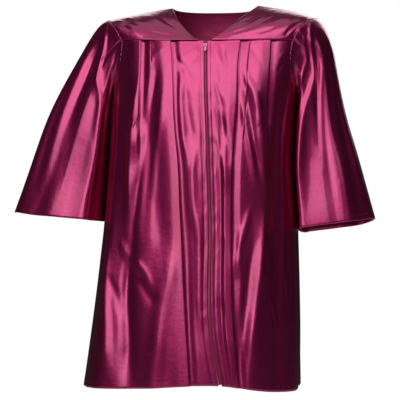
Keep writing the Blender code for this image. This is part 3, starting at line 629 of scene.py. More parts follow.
yoke = dict(
    out=0.0019,
    seam=0.0003,
    necklines={
        -1: np.array([
            (-0.0235, -0.0960, -0.0610), (-0.0501, -0.0640, -0.0370),
            (-0.0675, -0.0300, -0.0158), (-0.0787, 0.0050, -0.0010),
        ]),
        1: np.array([
            (0.0345, -0.0830, -0.0445), (0.0520, -0.0560, -0.0270),
            (0.0690, -0.0250, -0.0100), (0.0801, 0.0050, 0.0020),
        ]),
    },
    shoulders={
        -1: np.array([
            (-0.0787, 0.0050, -0.0010), (-0.1204, 0.0050, -0.0071),
            (-0.1680, 0.0050, -0.0160), (-0.1990, 0.0050, -0.0225),
        ]),
        1: np.array([
            (0.0801, 0.0050, 0.0020), (0.1199, 0.0050, -0.0045),
            (0.1561, 0.0050, -0.0120), (0.1850, 0.0050, -0.0225),
        ]),
    },
    backNeck=np.array([
        (-0.0787, 0.0050, -0.0010), (-0.0740, 0.0330, -0.0030), (-0.0540, 0.0600, -0.0045),
        (0.0000, 0.0730, -0.0050), (0.0550, 0.0600, -0.0040), (0.0755, 0.0330, -0.0010),
        (0.0801, 0.0050, 0.0020),
    ]),
    neckTurn=158.0,
    vTurn=2.9,
    columns=73,
    steps=57,
    shoulderSteps=22,
    neckSteps=37,
    creaseSpan=(0.15, 0.09),
    creaseStrength=0.75, heldUp=0.10, heldAcross=0.05,
    slack=0.0006,
    creases={
        "left": [
            (5, -1.5, [(0.98, 0.62), (0.84, 0.42), (0.66, 0.22)]),
            (4, -1.1, [(0.52, 0.30), (0.34, 0.18), (0.14, 0.08)]),
            (5, 1.3, [(0.92, 0.75), (0.70, 0.45), (0.50, 0.30)]),
            (4, 0.9, [(0.40, 0.85), (0.28, 0.55), (0.10, 0.22)]),
            (4, -0.9, [(0.25, 0.80), (0.16, 0.50), (0.06, 0.24)]),
            (5, 1.0, [(0.75, 0.90), (0.60, 0.60), (0.44, 0.40)]),
        ],
        "right": [
            (4, 1.0, [(0.05, 0.12), (0.22, 0.35), (0.36, 0.75)]),
            (4, -1.0, [(0.08, 0.08), (0.32, 0.32), (0.50, 0.70)]),
            (5, 1.1, [(0.12, 0.06), (0.40, 0.24), (0.66, 0.62)]),
            (5, -1.2, [(0.22, 0.06), (0.52, 0.20), (0.80, 0.50)]),
            (5, -1.6, [(0.98, 0.72), (0.90, 0.42), (0.80, 0.06)]),
            (5, 1.2, [(0.90, 0.85), (0.80, 0.52), (0.72, 0.20)]),
        ],
        "back": [
            (5, 1.2, [(0.05, 0.62), (0.14, 0.42), (0.24, 0.20)]),
            (4, -1.1, [(0.10, 0.80), (0.20, 0.50), (0.32, 0.28)]),
            (4, -1.0, [(0.36, 0.75), (0.42, 0.40), (0.50, 0.16)]),
            (4, 1.0, [(0.58, 0.80), (0.55, 0.46), (0.52, 0.20)]),
            (5, -1.2, [(0.96, 0.60), (0.86, 0.40), (0.74, 0.18)]),
            (5, 1.1, [(0.88, 0.82), (0.78, 0.52), (0.68, 0.30)]),
        ],
    },
)


def quarterRound(low, high, steps):
    turn = steps[:, None, None] * np.pi / 2
    rise, reach = np.sin(turn), 1 - np.cos(turn)
    grid = low[None] + (high - low)[None] * reach
    grid[..., 2] = (low[None] + (high - low)[None] * rise)[..., 2]
    grid[..., 0] = (low[None] + (high - low)[None] * (0.5 * (rise + reach)))[..., 0]
    return grid


def frontYokeGrid(side):
    columns, steps = np.linspace(0, 1, yoke["columns"]), np.linspace(0, 1, yoke["steps"])
    corner, start = body["frontCorner"] * side, yoke["vTurn"] * side
    turns = start + (corner - start) * columns
    low = bodySkin(turns, frontSeamAt(turns) + yoke["seam"] / 2, yoke["out"], 0)
    shoulder = pathThrough(yoke["shoulders"][side])(columns) - np.array([0, yoke["seam"] / 2, 0])
    neck = pathThrough(np.vstack([low[:1], yoke["necklines"][side]]))(steps)
    neck[-1] = shoulder[0]
    edge = quarterRound(low[-1][None], shoulder[-1][None], steps)[:, 0]
    grid = quarterRound(low, shoulder, steps)
    share = columns[None, :, None]
    grid = grid + (1 - share) * (neck - grid[:, 0])[:, None]
    return grid + share * (edge - grid[:, -1])[:, None]


def yokeCreased(grid, creases, seed):
    # share across from the neck and share up from the seam, both of 1
    outward = unit(np.cross(np.gradient(grid, axis=1), np.gradient(grid, axis=0)))
    if outward[..., 2].mean() < 0:
        outward = -outward
    up, across = np.meshgrid(*[np.linspace(0, 1, count) for count in grid.shape[:2]], indexing="ij")
    long, high = yoke["creaseSpan"]
    rise = creaseRise(across * long, up * high, inMetres(creases, long, high, yoke["creaseStrength"]))
    rise = rise + yoke["slack"] * (
        drift(across * 7 + 1.5 * up, up * 3.5, seed) + 0.5 * drift(across * 16 - 2 * up, up * 8, seed + 1))
    held = ease(np.minimum(up, 1 - up) / yoke["heldUp"])
    held = held * ease(np.minimum(across, 1 - across) / yoke["heldAcross"])
    return grid + outward * (rise * held)[..., None]


def backYokeGrid():
    sideSteps, neckSteps = np.linspace(0, 1, yoke["shoulderSteps"]), np.linspace(0, 1, yoke["neckSteps"])
    right = pathThrough(yoke["shoulders"][1])(1 - sideSteps)
    neck = pathThrough(yoke["backNeck"])(1 - neckSteps)[1:-1]
    left = pathThrough(yoke["shoulders"][-1])(sideSteps)
    high = np.vstack([right, neck, left]) + np.array([0, yoke["seam"] / 2, 0])
    side = (yoke["neckTurn"] - body["backCorner"]) * sideSteps
    centre = yoke["neckTurn"] + 2 * (180 - yoke["neckTurn"]) * neckSteps[1:-1]
    turns = wrapped(np.concatenate([body["backCorner"] + side, centre, 360 - yoke["neckTurn"] + side]))
    low = bodySkin(turns, np.full(len(turns), body["backSeam"] + yoke["seam"] / 2), yoke["out"], 0)
    return quarterRound(low, high, np.linspace(0, 1, yoke["steps"]))


# Sleeves

sleeves = dict(
    gatherSide=20, gatherSway=2.2, gatherWaver=0.08, gatherStart=0.03, slackStart=0.2,
    # beside the body: from this share down, and the turn where the rise dies out
    calmFrom=0.45, calmTurn=165, calmRun=25,
    # outer x, outer z, inner z, reach in front, reach behind, space from the body
    sections={
        -1: np.array([
            (-0.2460, -0.0830, -0.2050, 0.0600, 0.0600, 0.0075),
            (-0.2780, -0.1380, -0.2400, 0.0640, 0.0640, 0.0055),
            (-0.3080, -0.1970, -0.2800, 0.0680, 0.0690, 0.0045),
            (-0.3320, -0.2600, -0.3200, 0.0710, 0.0740, 0.0045),
            (-0.3530, -0.3200, -0.3560, 0.0740, 0.0790, 0.0045),
            (-0.3730, -0.3745, -0.3920, 0.0780, 0.0830, 0.0045),
        ]),
        1: np.array([
            (0.2180, -0.0830, -0.2050, 0.0600, 0.0600, 0.0075),
            (0.2275, -0.1370, -0.2430, 0.0630, 0.0640, 0.0055),
            (0.2410, -0.2000, -0.2880, 0.0660, 0.0690, 0.0045),
            (0.2580, -0.2580, -0.3270, 0.0690, 0.0740, 0.0045),
            (0.2760, -0.3220, -0.3660, 0.0720, 0.0790, 0.0045),
            (0.2935, -0.3850, -0.4060, 0.0760, 0.0830, 0.0045),
        ]),
    },
    cuffDrop={-1: 0.0010, 1: 0.0110},
    headRows=np.array([0.0, 0.06, 0.20, 0.42, 0.70, 1.0]),
    closer=0.35,
    headLead=0.055,
    headFall=0.085,
    fullness=0.45,
    headCount=34,
    lowerCount=64,
    gather=0.0012,
    gatherRun=0.15,
    gathers=58,
    gatherHalf=118.0,
    # angle at the top, at the cuff (0 outside, 90 front), start, spread, rise
    folds={
        -1: np.array([
            (58, 66, 0.02, 14, -0.0050), (96, 106, 0.06, 11, 0.0065), (116, 124, 0.05, 9, -0.0020),
            (34, 36, 0.25, 10, 0.0040), (-40, -44, 0.05, 12, -0.0050), (-72, -80, 0.15, 10, 0.0040),
            (-108, -112, 0.05, 11, -0.0045), (8, 6, 0.30, 10, -0.0030),
        ]),
        1: np.array([
            (66, 80, 0.05, 12, -0.0040), (96, 112, 0.10, 9, 0.0050), (118, 134, 0.05, 9, -0.0030),
            (40, 46, 0.25, 12, -0.0030), (22, 24, 0.20, 9, 0.0035), (-38, -42, 0.05, 12, -0.0050),
            (-70, -78, 0.15, 10, 0.0040), (-108, -112, 0.05, 11, -0.0045),
        ]),
    },
    foldRun=0.45,
    # width and rise in mm, then the path in angle and rows down, of 10
    creases={
        -1: [
            (6, 3.2, [(20, 0.8), (60, 3.0), (84, 4.2), (99, 5.4), (107, 6.8), (109, 8.5), (103, 10)]),
            (14, -3.8, [(30, 1.6), (52, 3.6), (68, 5.4), (80, 7.2), (82, 10)]),
            (8, 1.2, [(44, 3.4), (52, 5.4), (58, 7), (62, 8.7), (64, 10)]),
            (8, -1.4, [(30, 4.0), (42, 6.4), (48, 8.2), (52, 10)]),
            (7, 1.6, [(-30, 2.0), (-52, 5.0), (-56, 7.6), (-58, 10)]),
            (8, -1.8, [(-60, 2.4), (-88, 5.6), (-92, 8), (-96, 10)]),
            (6, 2.0, [(95, 1.6), (120, 3.0), (133, 4.4), (136, 6)]),
            (6, -1.8, [(80, 1.2), (104, 3.2), (120, 5.0), (124, 7)]),
        ],
        1: [
            (6, 3.0, [(18, 0.8), (52, 2.4), (76, 3.9), (89, 5), (98, 6), (105, 7.1), (112, 8.2), (115, 10)]),
            (6, 1.8, [(60, 1.8), (87, 3.4), (115, 4.2), (140, 5.1)]),
            (10, -4.4, [(40, 2.0), (66, 4.0), (80, 5.6), (90, 7.6), (94, 10)]),
            (8, -3.0, [(104, 3.6), (118, 5.2), (124, 7.4), (132, 10)]),
            (10, 2.4, [(36, 5.4), (46, 7.4), (54, 8.9), (57, 10)]),
            (8, -2.0, [(56, 4.6), (66, 6.6), (76, 8.4), (78, 10)]),
            (8, -1.6, [(22, 4.0), (30, 6.4), (36, 8.4), (38, 10)]),
            (7, 1.6, [(-30, 2.0), (-52, 5.0), (-56, 7.6), (-58, 10)]),
            (8, -1.8, [(-60, 2.4), (-88, 5.6), (-92, 8), (-96, 10)]),
        ],
    },
    degree=0.0011,
    rowDown=0.034,
    finer=2,
    # widest and longest laid flat, and the area, measured on the cloth as modelled
    cut={-1: ((0.563, 0.411), 0.1525), 1: ((0.518, 0.398), 0.1414)},
    slack=0.00012,
)


def armholeLoop(side, frontPanel, backPanel, frontYoke, backYoke):
    # from the shoulder tip down the front and up the back, with the ways out of the robe
    count = rows["armhole"]
    out, into = (-1, -2) if side > 0 else (0, 1)
    near, nextIn = (0, 1) if side > 0 else (-1, -2)
    edges = [
        (frontYoke[::-1, -1], frontYoke[::-1, -2]),
        (frontPanel[:count, out], frontPanel[:count, into]),
        (backPanel[:count, near][::-1], backPanel[:count, nextIn][::-1]),
        (backYoke[:, near], backYoke[:, nextIn]),
    ]
    spots, ways = [], []
    for edge, inside in edges:
        along = unit(np.diff(edge, axis=0))
        way = (edge[1:] + edge[:-1] - inside[1:] - inside[:-1]) / 2
        way = unit(way - (way * along).sum(-1, keepdims=True) * along)
        spots.append(edge)
        ways.append(np.vstack([way[:1], unit(way[1:] + way[:-1]), way[-1:]]))
    loop = np.vstack([spot[:-1] for spot in spots])
    lead = np.vstack([way[:-1] for way in ways])
    for _ in range(6):
        lead = unit(lead + 0.5 * (np.roll(lead, 1, 0) + np.roll(lead, -1, 0)))
    # more columns on the same line, so that the gathers keep their shape
    count, spots = len(loop), np.arange(len(loop) * sleeves["finer"]) / sleeves["finer"]
    low, share = spots.astype(int), (spots % 1)[:, None]
    loop, lead = [line[low] * (1 - share) + line[(low + 1) % count] * share for line in (loop, lead)]
    return loop, unit(lead)


def besideBody(side, depths, heights):
    # x of the body's side at each depth and height
    lines = bodySkin(side * np.linspace(20, 160, 71)[None], heights[:, None])
    return np.array([np.interp(depth, line[:, 1], line[:, 0]) for depth, line in zip(depths, lines)])


def sleeveSection(side, row, angles, drop=0.0):
    outerX, outerZ, innerZ, front, behind, clear = row
    cos, sin = np.cos(angles), np.sin(angles)
    depth = np.where(sin > 0, -front * sin, -behind * sin)
    inward = (1 - np.where(cos > 0, cos, -np.abs(cos) ** sleeves["fullness"])) / 2
    height = outerZ + (innerZ - outerZ) * inward
    innerX = besideBody(side, depth, height) + side * clear * sleeves["closer"]
    return np.stack([outerX + (innerX - outerX) * inward, depth, height - drop * np.maximum(0, -sin)], -1)


def sleeveRise(side, angles, down):
    spots = (np.degrees(angles)[None] + 180) % 360 - 180
    down = down[:, None]
    share = down / 10
    sway = sleeves["gatherSway"] * drift(spots / 24 + 9, down, 31)
    wave = np.cos(np.radians(spots) * sleeves["gathers"] + sway)
    wave = wave * (0.7 + 0.5 * drift(spots / 9 + 3, down / 2, 32))
    edge = ease((sleeves["gatherHalf"] - np.abs(spots)) / sleeves["gatherSide"])
    run = sleeves["gatherRun"] + sleeves["gatherWaver"] * drift(spots / 15, 0 * down, 33)
    rise = sleeves["gather"] * wave * edge * ease(1 - share / run) * ease(share / sleeves["gatherStart"])
    for top, low, start, spread, lift in sleeves["folds"][side]:
        aside = (spots - (top + (low - top) * share) + 180) % 360 - 180
        rise = rise + lift * np.exp(-(aside / spread) ** 2) * ease((share - start) / sleeves["foldRun"])
    across, along = spots * sleeves["degree"], down * sleeves["rowDown"]
    creases = inMetres(sleeves["creases"][side], sleeves["degree"], sleeves["rowDown"])
    rise = rise + creaseRise(across, along, creases)
    rise = rise + wrinkles(across, along, sleeves["slack"], 50 + side) * ease(share / sleeves["slackStart"])
    # flat where it lies by the body
    calm = ease((sleeves["calmTurn"] - np.abs(spots)) / sleeves["calmRun"])
    return rise * np.where(share > sleeves["calmFrom"], calm, 1)


def ringFacing(rings):
    along = np.gradient(rings, axis=0)
    around = np.roll(rings, -1, axis=1) - np.roll(rings, 1, axis=1)
    facing = unit(np.cross(along, around))
    return facing if (facing * (rings - rings.mean(1, keepdims=True))).sum() > 0 else -facing


def sleeveGrid(side, panels):
    head, lead = armholeLoop(side, *panels)
    closed = np.vstack([head, head[:1]])
    length = np.concatenate([[0], np.cumsum(np.linalg.norm(np.diff(closed, axis=0), axis=1))])
    angles = length[:-1] / length[-1] * 2 * np.pi
    table = sleeves["sections"][side]
    tableAt = curveThrough(np.arange(6), table)
    steps = np.linspace(0, 5, sleeves["lowerCount"] + 1)
    drops = sleeves["cuffDrop"][side] * ease(steps - 4)
    sections = np.array([
        sleeveSection(side, tableAt(step), angles, drop) for step, drop in zip(steps, drops)])
    fall = unit(sleeveSection(side, table[1], angles) - sections[0])
    headSteps = np.linspace(0, 1, sleeves["headCount"] + 1)
    rings = []
    for t in headSteps:
        ring = (2 * t ** 3 - 3 * t ** 2 + 1) * head + (3 * t ** 2 - 2 * t ** 3) * sections[0]
        ring = ring + (t ** 3 - 2 * t ** 2 + t) * lead * sleeves["headLead"]
        ring = ring + (t ** 3 - t ** 2) * fall * sleeves["headFall"]
        rings.append(ring)
    rings = np.array(rings + list(sections[1:]))
    headDown = np.interp(headSteps, sleeves["headRows"], np.arange(6))
    down = np.concatenate([headDown, 5 + steps[1:]])
    grid = rings + ringFacing(rings) * sleeveRise(side, angles, down)[..., None]
    return grid, ringFacing(grid)


# Satin

satin = dict(
    colour=(0.58, 0.024, 0.168), shade=(0.50, 0.016, 0.138), metallic=0.9, roughness=0.31,
    coat=0.7, coatIor=1.7, coatRoughness=0.17,
    weave=0.00022, weaveBump=0.05, crinkle=0.0026, crinkleBump=0.28,
    crinkleDeep=0.0012, weaveDeep=0.0001,
)


def newGroup(name, wanted, made, kind="ShaderNodeTree"):
    # a node group with its named inputs and outputs
    group = bpy.data.node_groups.new(name, kind)
    for way, sockets in (("INPUT", wanted), ("OUTPUT", made)):
        for socket, holds in sockets.items():
            group.interface.new_socket(name=socket, in_out=way, socket_type="NodeSocket" + holds)
    return group, group.nodes.new("NodeGroupInput"), group.nodes.new("NodeGroupOutput")


def mixed(group, share, dark, light):
    mix = group.nodes.new("ShaderNodeMix")
    mix.data_type = "RGBA"
    for socket, source in (("Factor", share), ("A", dark), ("B", light)):
        group.links.new(source, mix.inputs[socket])
    return mix.outputs["Result"]


def bumped(group, distance, strength, height):
    bump = group.nodes.new("ShaderNodeBump")
    bump.inputs["Distance"].default_value = distance
    group.links.new(strength, bump.inputs["Strength"])
    group.links.new(height, bump.inputs["Height"])
    return bump


def makeClothGroup():
    # colour, roughness and normal of woven cloth, from a pattern in metres on the cloth
    group, given, result = newGroup(
        "wovenCloth",
        {"Vector": "Vector", "Light": "Color", "Dark": "Color", "Thread": "Float", "Thread bump": "Float",
         "Crinkle": "Float", "Crinkle bump": "Float", "Rough": "Float"},
        {"Colour": "Color", "Roughness": "Float", "Normal": "Vector"})
    nodes, links = group.nodes, group.links

    def maths(operation, a, b=None):
        node = nodes.new("ShaderNodeMath")
        node.operation = operation
        for i, value in enumerate((a, b)):
            if value is None:
                continue
            if isinstance(value, (int, float)):
                node.inputs[i].default_value = value
            else:
                links.new(value, node.inputs[i])
        return node.outputs[0]

    def noise(scale, detail):
        node = nodes.new("ShaderNodeTexNoise")
        links.new(given.outputs["Vector"], node.inputs["Vector"])
        links.new(scale, node.inputs["Scale"])
        node.inputs["Detail"].default_value = detail
        return node.outputs["Fac"]

    split = nodes.new("ShaderNodeSeparateXYZ")
    links.new(given.outputs["Vector"], split.inputs[0])
    count = maths("DIVIDE", math.pi, given.outputs["Thread"])
    warp = maths("SINE", maths("MULTIPLY", split.outputs[0], count))
    weft = maths("SINE", maths("MULTIPLY", split.outputs[1], count))
    threads = maths("ADD", maths("MULTIPLY", warp, 0.7), maths("MULTIPLY", weft, 0.3))
    fine = noise(maths("DIVIDE", 0.35, given.outputs["Crinkle"]), 3.0)
    broad = noise(maths("DIVIDE", 0.08, given.outputs["Crinkle"]), 2.0)

    colour = mixed(group, broad, given.outputs["Dark"], given.outputs["Light"])
    links.new(colour, result.inputs["Colour"])
    rough = maths("ADD", given.outputs["Rough"], maths("MULTIPLY", maths("SUBTRACT", fine, 0.5), 0.10))
    links.new(rough, result.inputs["Roughness"])

    crinkled = bumped(group, satin["crinkleDeep"], given.outputs["Crinkle bump"], fine)
    woven = bumped(group, satin["weaveDeep"], given.outputs["Thread bump"], threads)
    links.new(crinkled.outputs["Normal"], woven.inputs["Normal"])
    links.new(woven.outputs["Normal"], result.inputs["Normal"])
    return group


clothGroup = makeClothGroup()


def groupMaterial(name, tree, given, own):
    # a material fed by a shader group; own holds the values on the shader's own sockets
    material, shader = newMaterial(name)
    group = material.node_tree.nodes.new("ShaderNodeGroup")
    group.node_tree = tree
    for made, socket in (("Colour", "Base Color"), ("Roughness", "Roughness"), ("Normal", "Normal")):
        if made in group.outputs:
            material.node_tree.links.new(group.outputs[made], shader.inputs[socket])
    for node, values in ((group, given), (shader, own)):
        for socket, value in values.items():
            node.inputs[socket].default_value = value
    return material, group


def clothMaterial(name, look):
    material, group = groupMaterial(name, clothGroup, {
        "Light": (*look["colour"], 1), "Dark": (*look["shade"], 1),
        "Thread": look["weave"], "Thread bump": look["weaveBump"],
        "Crinkle": look["crinkle"], "Crinkle bump": look["crinkleBump"], "Rough": look["roughness"],
    }, {
        "Metallic": look["metallic"], "Coat Weight": look["coat"],
        "Coat IOR": look["coatIor"], "Coat Roughness": look["coatRoughness"],
    })
    place = material.node_tree.nodes.new("ShaderNodeUVMap")
    place.uv_map = "clothMetres"
    material.node_tree.links.new(place.outputs["UV"], group.inputs["Vector"])
    return material


satinCloth = clothMaterial("burgundySatin", satin)
satinReverse = clothMaterial("satinReverse", dict(
    satin, colour=(0.50, 0.030, 0.135), shade=(0.40, 0.020, 0.105), metallic=0.35, roughness=0.52, coat=0.0))


# Cloth pieces

shell = dict(thickness=0.0005)
robeMiddle = np.array([-0.03, 0, -0.30])


def outwardOf(grid):
    return unit(np.cross(np.gradient(grid, axis=0), np.gradient(grid, axis=1)))


def clothPiece(name, grid, material, roundShut=False, thickness=None, inside=None):
    count, columns = grid.shape[:2]
    wide = columns + 1 if roundShut else columns
    full = np.concatenate([grid, grid[:, :1]], 1) if roundShut else grid
    across = np.linalg.norm(np.diff(full, axis=1), axis=-1).mean(0)
    down = np.linalg.norm(np.diff(full, axis=0), axis=-1).mean(1)
    u = np.concatenate([[0], np.cumsum(across)])
    v = np.concatenate([[0], np.cumsum(down)])
    # faces point away from the middle of the sleeve, or of the robe
    middle = grid.mean(1, keepdims=True) if roundShut else robeMiddle
    way = 1 if (outwardOf(grid) * (grid - middle)).sum() > 0 else -1
    faces, marks = [], []
    for r in range(count - 1):
        for c in range(wide - 1):
            d = (c + 1) % columns
            above, below = r * columns, (r + 1) * columns
            faces.append((above + c, below + c, below + d, above + d)[::way])
            marks += [(u[c], -v[r]), (u[c], -v[r + 1]), (u[c + 1], -v[r + 1]), (u[c + 1], -v[r])][::way]
    mesh = bpy.data.meshes.new(name)
    mesh.from_pydata(grid.reshape(-1, 3).tolist(), [], faces)
    layer = mesh.uv_layers.new(name="clothMetres")
    layer.data.foreach_set("uv", np.array(marks, float).ravel())
    mesh.shade_smooth()
    piece = placed(name, mesh)
    mesh.materials.append(material)
    wall = piece.modifiers.new("thickness", "SOLIDIFY")
    wall.thickness = thickness or shell["thickness"]
    wall.offset = 0
    if inside:
        mesh.materials.append(inside)
        wall.material_offset = 1
        wall.material_offset_rim = 1
    return piece


leftFront, rightFront, backPanel = frontGrid(-1), frontGrid(1), backGrid()
leftYoke = yokeCreased(frontYokeGrid(-1), yoke["creases"]["left"], 61)
rightYoke = yokeCreased(frontYokeGrid(1), yoke["creases"]["right"], 63)
backYoke = yokeCreased(backYokeGrid(), yoke["creases"]["back"], 65)
print("panels shaped")


def outwardAtFoot(grid):
    # the ways out of the robe along a panel's lower edge
    facing = outwardOf(grid)[-1]
    return facing if ((grid[-1] - robeMiddle)[:, :2] * facing[:, :2]).sum() > 0 else -facing


def hemmed(grid):
    return turnedUp(grid, outwardAtFoot(grid))


def printCut(name, grid, roundShut=False):
    # widths of the top, middle and last row laid flat, the mean length, and the area of one layer
    ring = np.concatenate([grid, grid[:, :1]], 1) if roundShut else grid
    wide = np.linalg.norm(np.diff(ring, axis=1), axis=-1).sum(1)
    long = np.linalg.norm(np.diff(grid, axis=0), axis=-1).sum(0)
    down, across = np.diff(ring[:, :-1], axis=0), np.diff(ring[:-1], axis=1)
    area = np.linalg.norm(np.cross(down, across), axis=-1).sum()
    print(name, "wide", [round(float(w), 3) for w in (wide[0], wide[len(wide) // 2], wide[-6])],
          "long", [round(float(v), 3) for v in (long.min(), long.mean(), long.max())],
          "area", round(float(area), 4))


# name: grid, node, flat cut, its area, how it is held
panels = {
    "frontLeftCloth": (hemmed(leftFront), "front_left", (0.384, 0.642), 0.198, "hung"),
    "frontRightCloth": (hemmed(rightFront), "front_right", (0.244, 0.641), 0.156, "hung"),
    "backCloth": (hemmed(backPanel), "back", (0.666, 0.630), 0.362, "hung"),
    "yokeFrontLeftCloth": (leftYoke, "yoke_front_left", (0.146, 0.144), 0.0152, "draped"),
    "yokeFrontRightCloth": (rightYoke, "yoke_front_right", (0.146, 0.150), 0.0148, "draped"),
    "yokeBackCloth": (backYoke, "yoke_back", (0.440, 0.127), 0.0352, "draped"),
}
for name, (grid, node, flat, area, held) in panels.items():
    piece = clothPiece(name, grid, satinCloth, inside=satinReverse)
    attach(piece, "robe")
    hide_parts(node)
    printCut(name, grid)

sleeveGrids = []
for side, name, node, yokePiece, panel in (
        (-1, "sleeveLeftCloth", "sleeve_left", leftYoke, leftFront),
        (1, "sleeveRightCloth", "sleeve_right", rightYoke, rightFront)):
    grid, facing = sleeveGrid(side, (panel, backPanel, yokePiece, backYoke))
    sleeveGrids.append((grid, facing))
    grid = turnedUp(grid, facing[-1])
    piece = clothPiece(name, grid, satinCloth, roundShut=True, inside=satinReverse)
    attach(piece, "robe")
    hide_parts(node)
    flat, area = sleeves["cut"][side]
    printCut(name, grid, True)
print("cloth made")


# Zip: two tapes, a coil with its teeth, slider and pull tab

zipPart = dict(
    tapeDepth=0.0013, top=-0.0700, end=-0.6790, coilRadius=0.00095, coilOut=0.0005, pitch=0.00135,
    toothWide=0.0044, toothShare=0.72, coilPoints=240,
    sliderHeight=-0.0790, sliderOut=0.0017,
    sliderSize=(0.0076, 0.0094, 0.0020), bridge=(0.0012, 0.0040, 0.0026), bridgeHole=(0.0026, 0.0018),
    pivotRise=0.0009, pivotDown=0.0003,
    tabWidth=0.0046, tabLength=0.0100, tabWindow=(0.0026, 0.00045, 0.00375), tabThick=0.0009,
    sliderRounding=0.00022, tabRounding=0.00018, bridgeSunk=0.0003,
    shieldStep=0.45, shieldTop=(0.90, 0.94), tabPoints=32,
)
zipLook = dict(
    tapeCloth=dict(
        colour=(0.30, 0.018, 0.080), shade=(0.22, 0.012, 0.055), metallic=0.1, roughness=0.72, coat=0.0,
        coatIor=1.5, coatRoughness=0.3, weave=0.0007, weaveBump=0.5, crinkle=0.004, crinkleBump=0.1),
    coil=dict(colour=(0.78, 0.12, 0.30), metallic=0.25, roughness=0.36),
    metal=dict(colour=(0.62, 0.20, 0.30), metallic=0.9, roughness=0.28),
    thread=dict(colour=(0.50, 0.060, 0.170), metallic=0.4, roughness=0.38),
)


grain = dict(scale=900, bump=0.04, deep=0.0001, dark=0.8, light=1.15)


def makeGrainGroup():
    # colour and normal of nylon, lacquer or thread, uneven with one fine noise
    group, given, result = newGroup(
        "fineGrain",
        {"Vector": "Vector", "Light": "Color", "Dark": "Color", "Scale": "Float", "Grain": "Float"},
        {"Colour": "Color", "Normal": "Vector"})
    links = group.links
    noise = group.nodes.new("ShaderNodeTexNoise")
    noise.inputs["Detail"].default_value = 3
    links.new(given.outputs["Vector"], noise.inputs["Vector"])
    links.new(given.outputs["Scale"], noise.inputs["Scale"])
    colour = mixed(group, noise.outputs["Fac"], given.outputs["Dark"], given.outputs["Light"])
    links.new(colour, result.inputs["Colour"])
    bump = bumped(group, grain["deep"], given.outputs["Grain"], noise.outputs["Fac"])
    links.new(bump.outputs["Normal"], result.inputs["Normal"])
    return group


grainGroup = makeGrainGroup()


def hardMaterial(name, look):
    material, group = groupMaterial(name, grainGroup, {
        "Dark": (*[grain["dark"] * c for c in look["colour"]], 1),
        "Light": (*[grain["light"] * c for c in look["colour"]], 1),
        "Scale": grain["scale"], "Grain": grain["bump"],
    }, {"Roughness": look["roughness"], "Metallic": look["metallic"]})
    place = material.node_tree.nodes.new("ShaderNodeTexCoord")
    material.node_tree.links.new(place.outputs["Object"], group.inputs["Vector"])
    return material


tapeCloth = clothMaterial("zipTape", zipLook["tapeCloth"])
coilNylon = hardMaterial("coilNylon", zipLook["coil"])
pinkMetal = hardMaterial("pinkMetal", zipLook["metal"])
satinThread = hardMaterial("satinThread", zipLook["thread"])


def zipPlace(height):
    # a point on the zip's middle line, with the ways across, up and out of the robe there
    def at(level, aside=0.0):
        return bodySkin(zipTurn(level) + aside, level, 0, 0)

    up = unit(at(height + 0.003) - at(height - 0.003))
    out = unit(np.cross(at(height, 2) - at(height, -2), np.array([0, 0, 1.0])))
    out = unit(out - out.dot(up) * up)
    return at(height), up, out, np.cross(up, out)


def zipMatrix(height, rise, down=0.0):
    point, up, out, across = zipPlace(height)
    turn = Matrix([list(row) for row in np.stack([across, up, out], 1)])
    return Matrix.Translation(Vector(point + out * rise - up * down)) @ turn.to_4x4()


tape = dict(
    fromTop=0.0025, fromEnd=0.0005, rows=150, thickness=0.0006,
    # ways across the tape, and how much deeper its outer edge lies
    asides=(0.0001, 0.0016, 0.0018, 0.0030, 0.0060, 0.0090, 0.0105, 0.0112),
    edgeFrom=0.0100, edgeDeep=0.00025,
)


def tapeGrid(side):
    lines = []
    heights = np.linspace(zipPart["top"] + tape["fromTop"], zipPart["end"] - tape["fromEnd"], tape["rows"])
    for height in heights:
        point, up, out, across = zipPlace(height)
        row = []
        for aside in tape["asides"]:
            edge = tape["edgeDeep"] if aside > tape["edgeFrom"] else 0.0
            row.append(point + side * across * aside - out * (zipPart["tapeDepth"] + edge))
        lines.append(row)
    return np.array(lines)


for side, name, node in (
        (-1, "zipTapeLeftCloth", "zip_tape_left"), (1, "zipTapeRightCloth", "zip_tape_right")):
    piece = clothPiece(name, tapeGrid(side), tapeCloth, thickness=tape["thickness"])
    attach(piece, "robe")
    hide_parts(node)


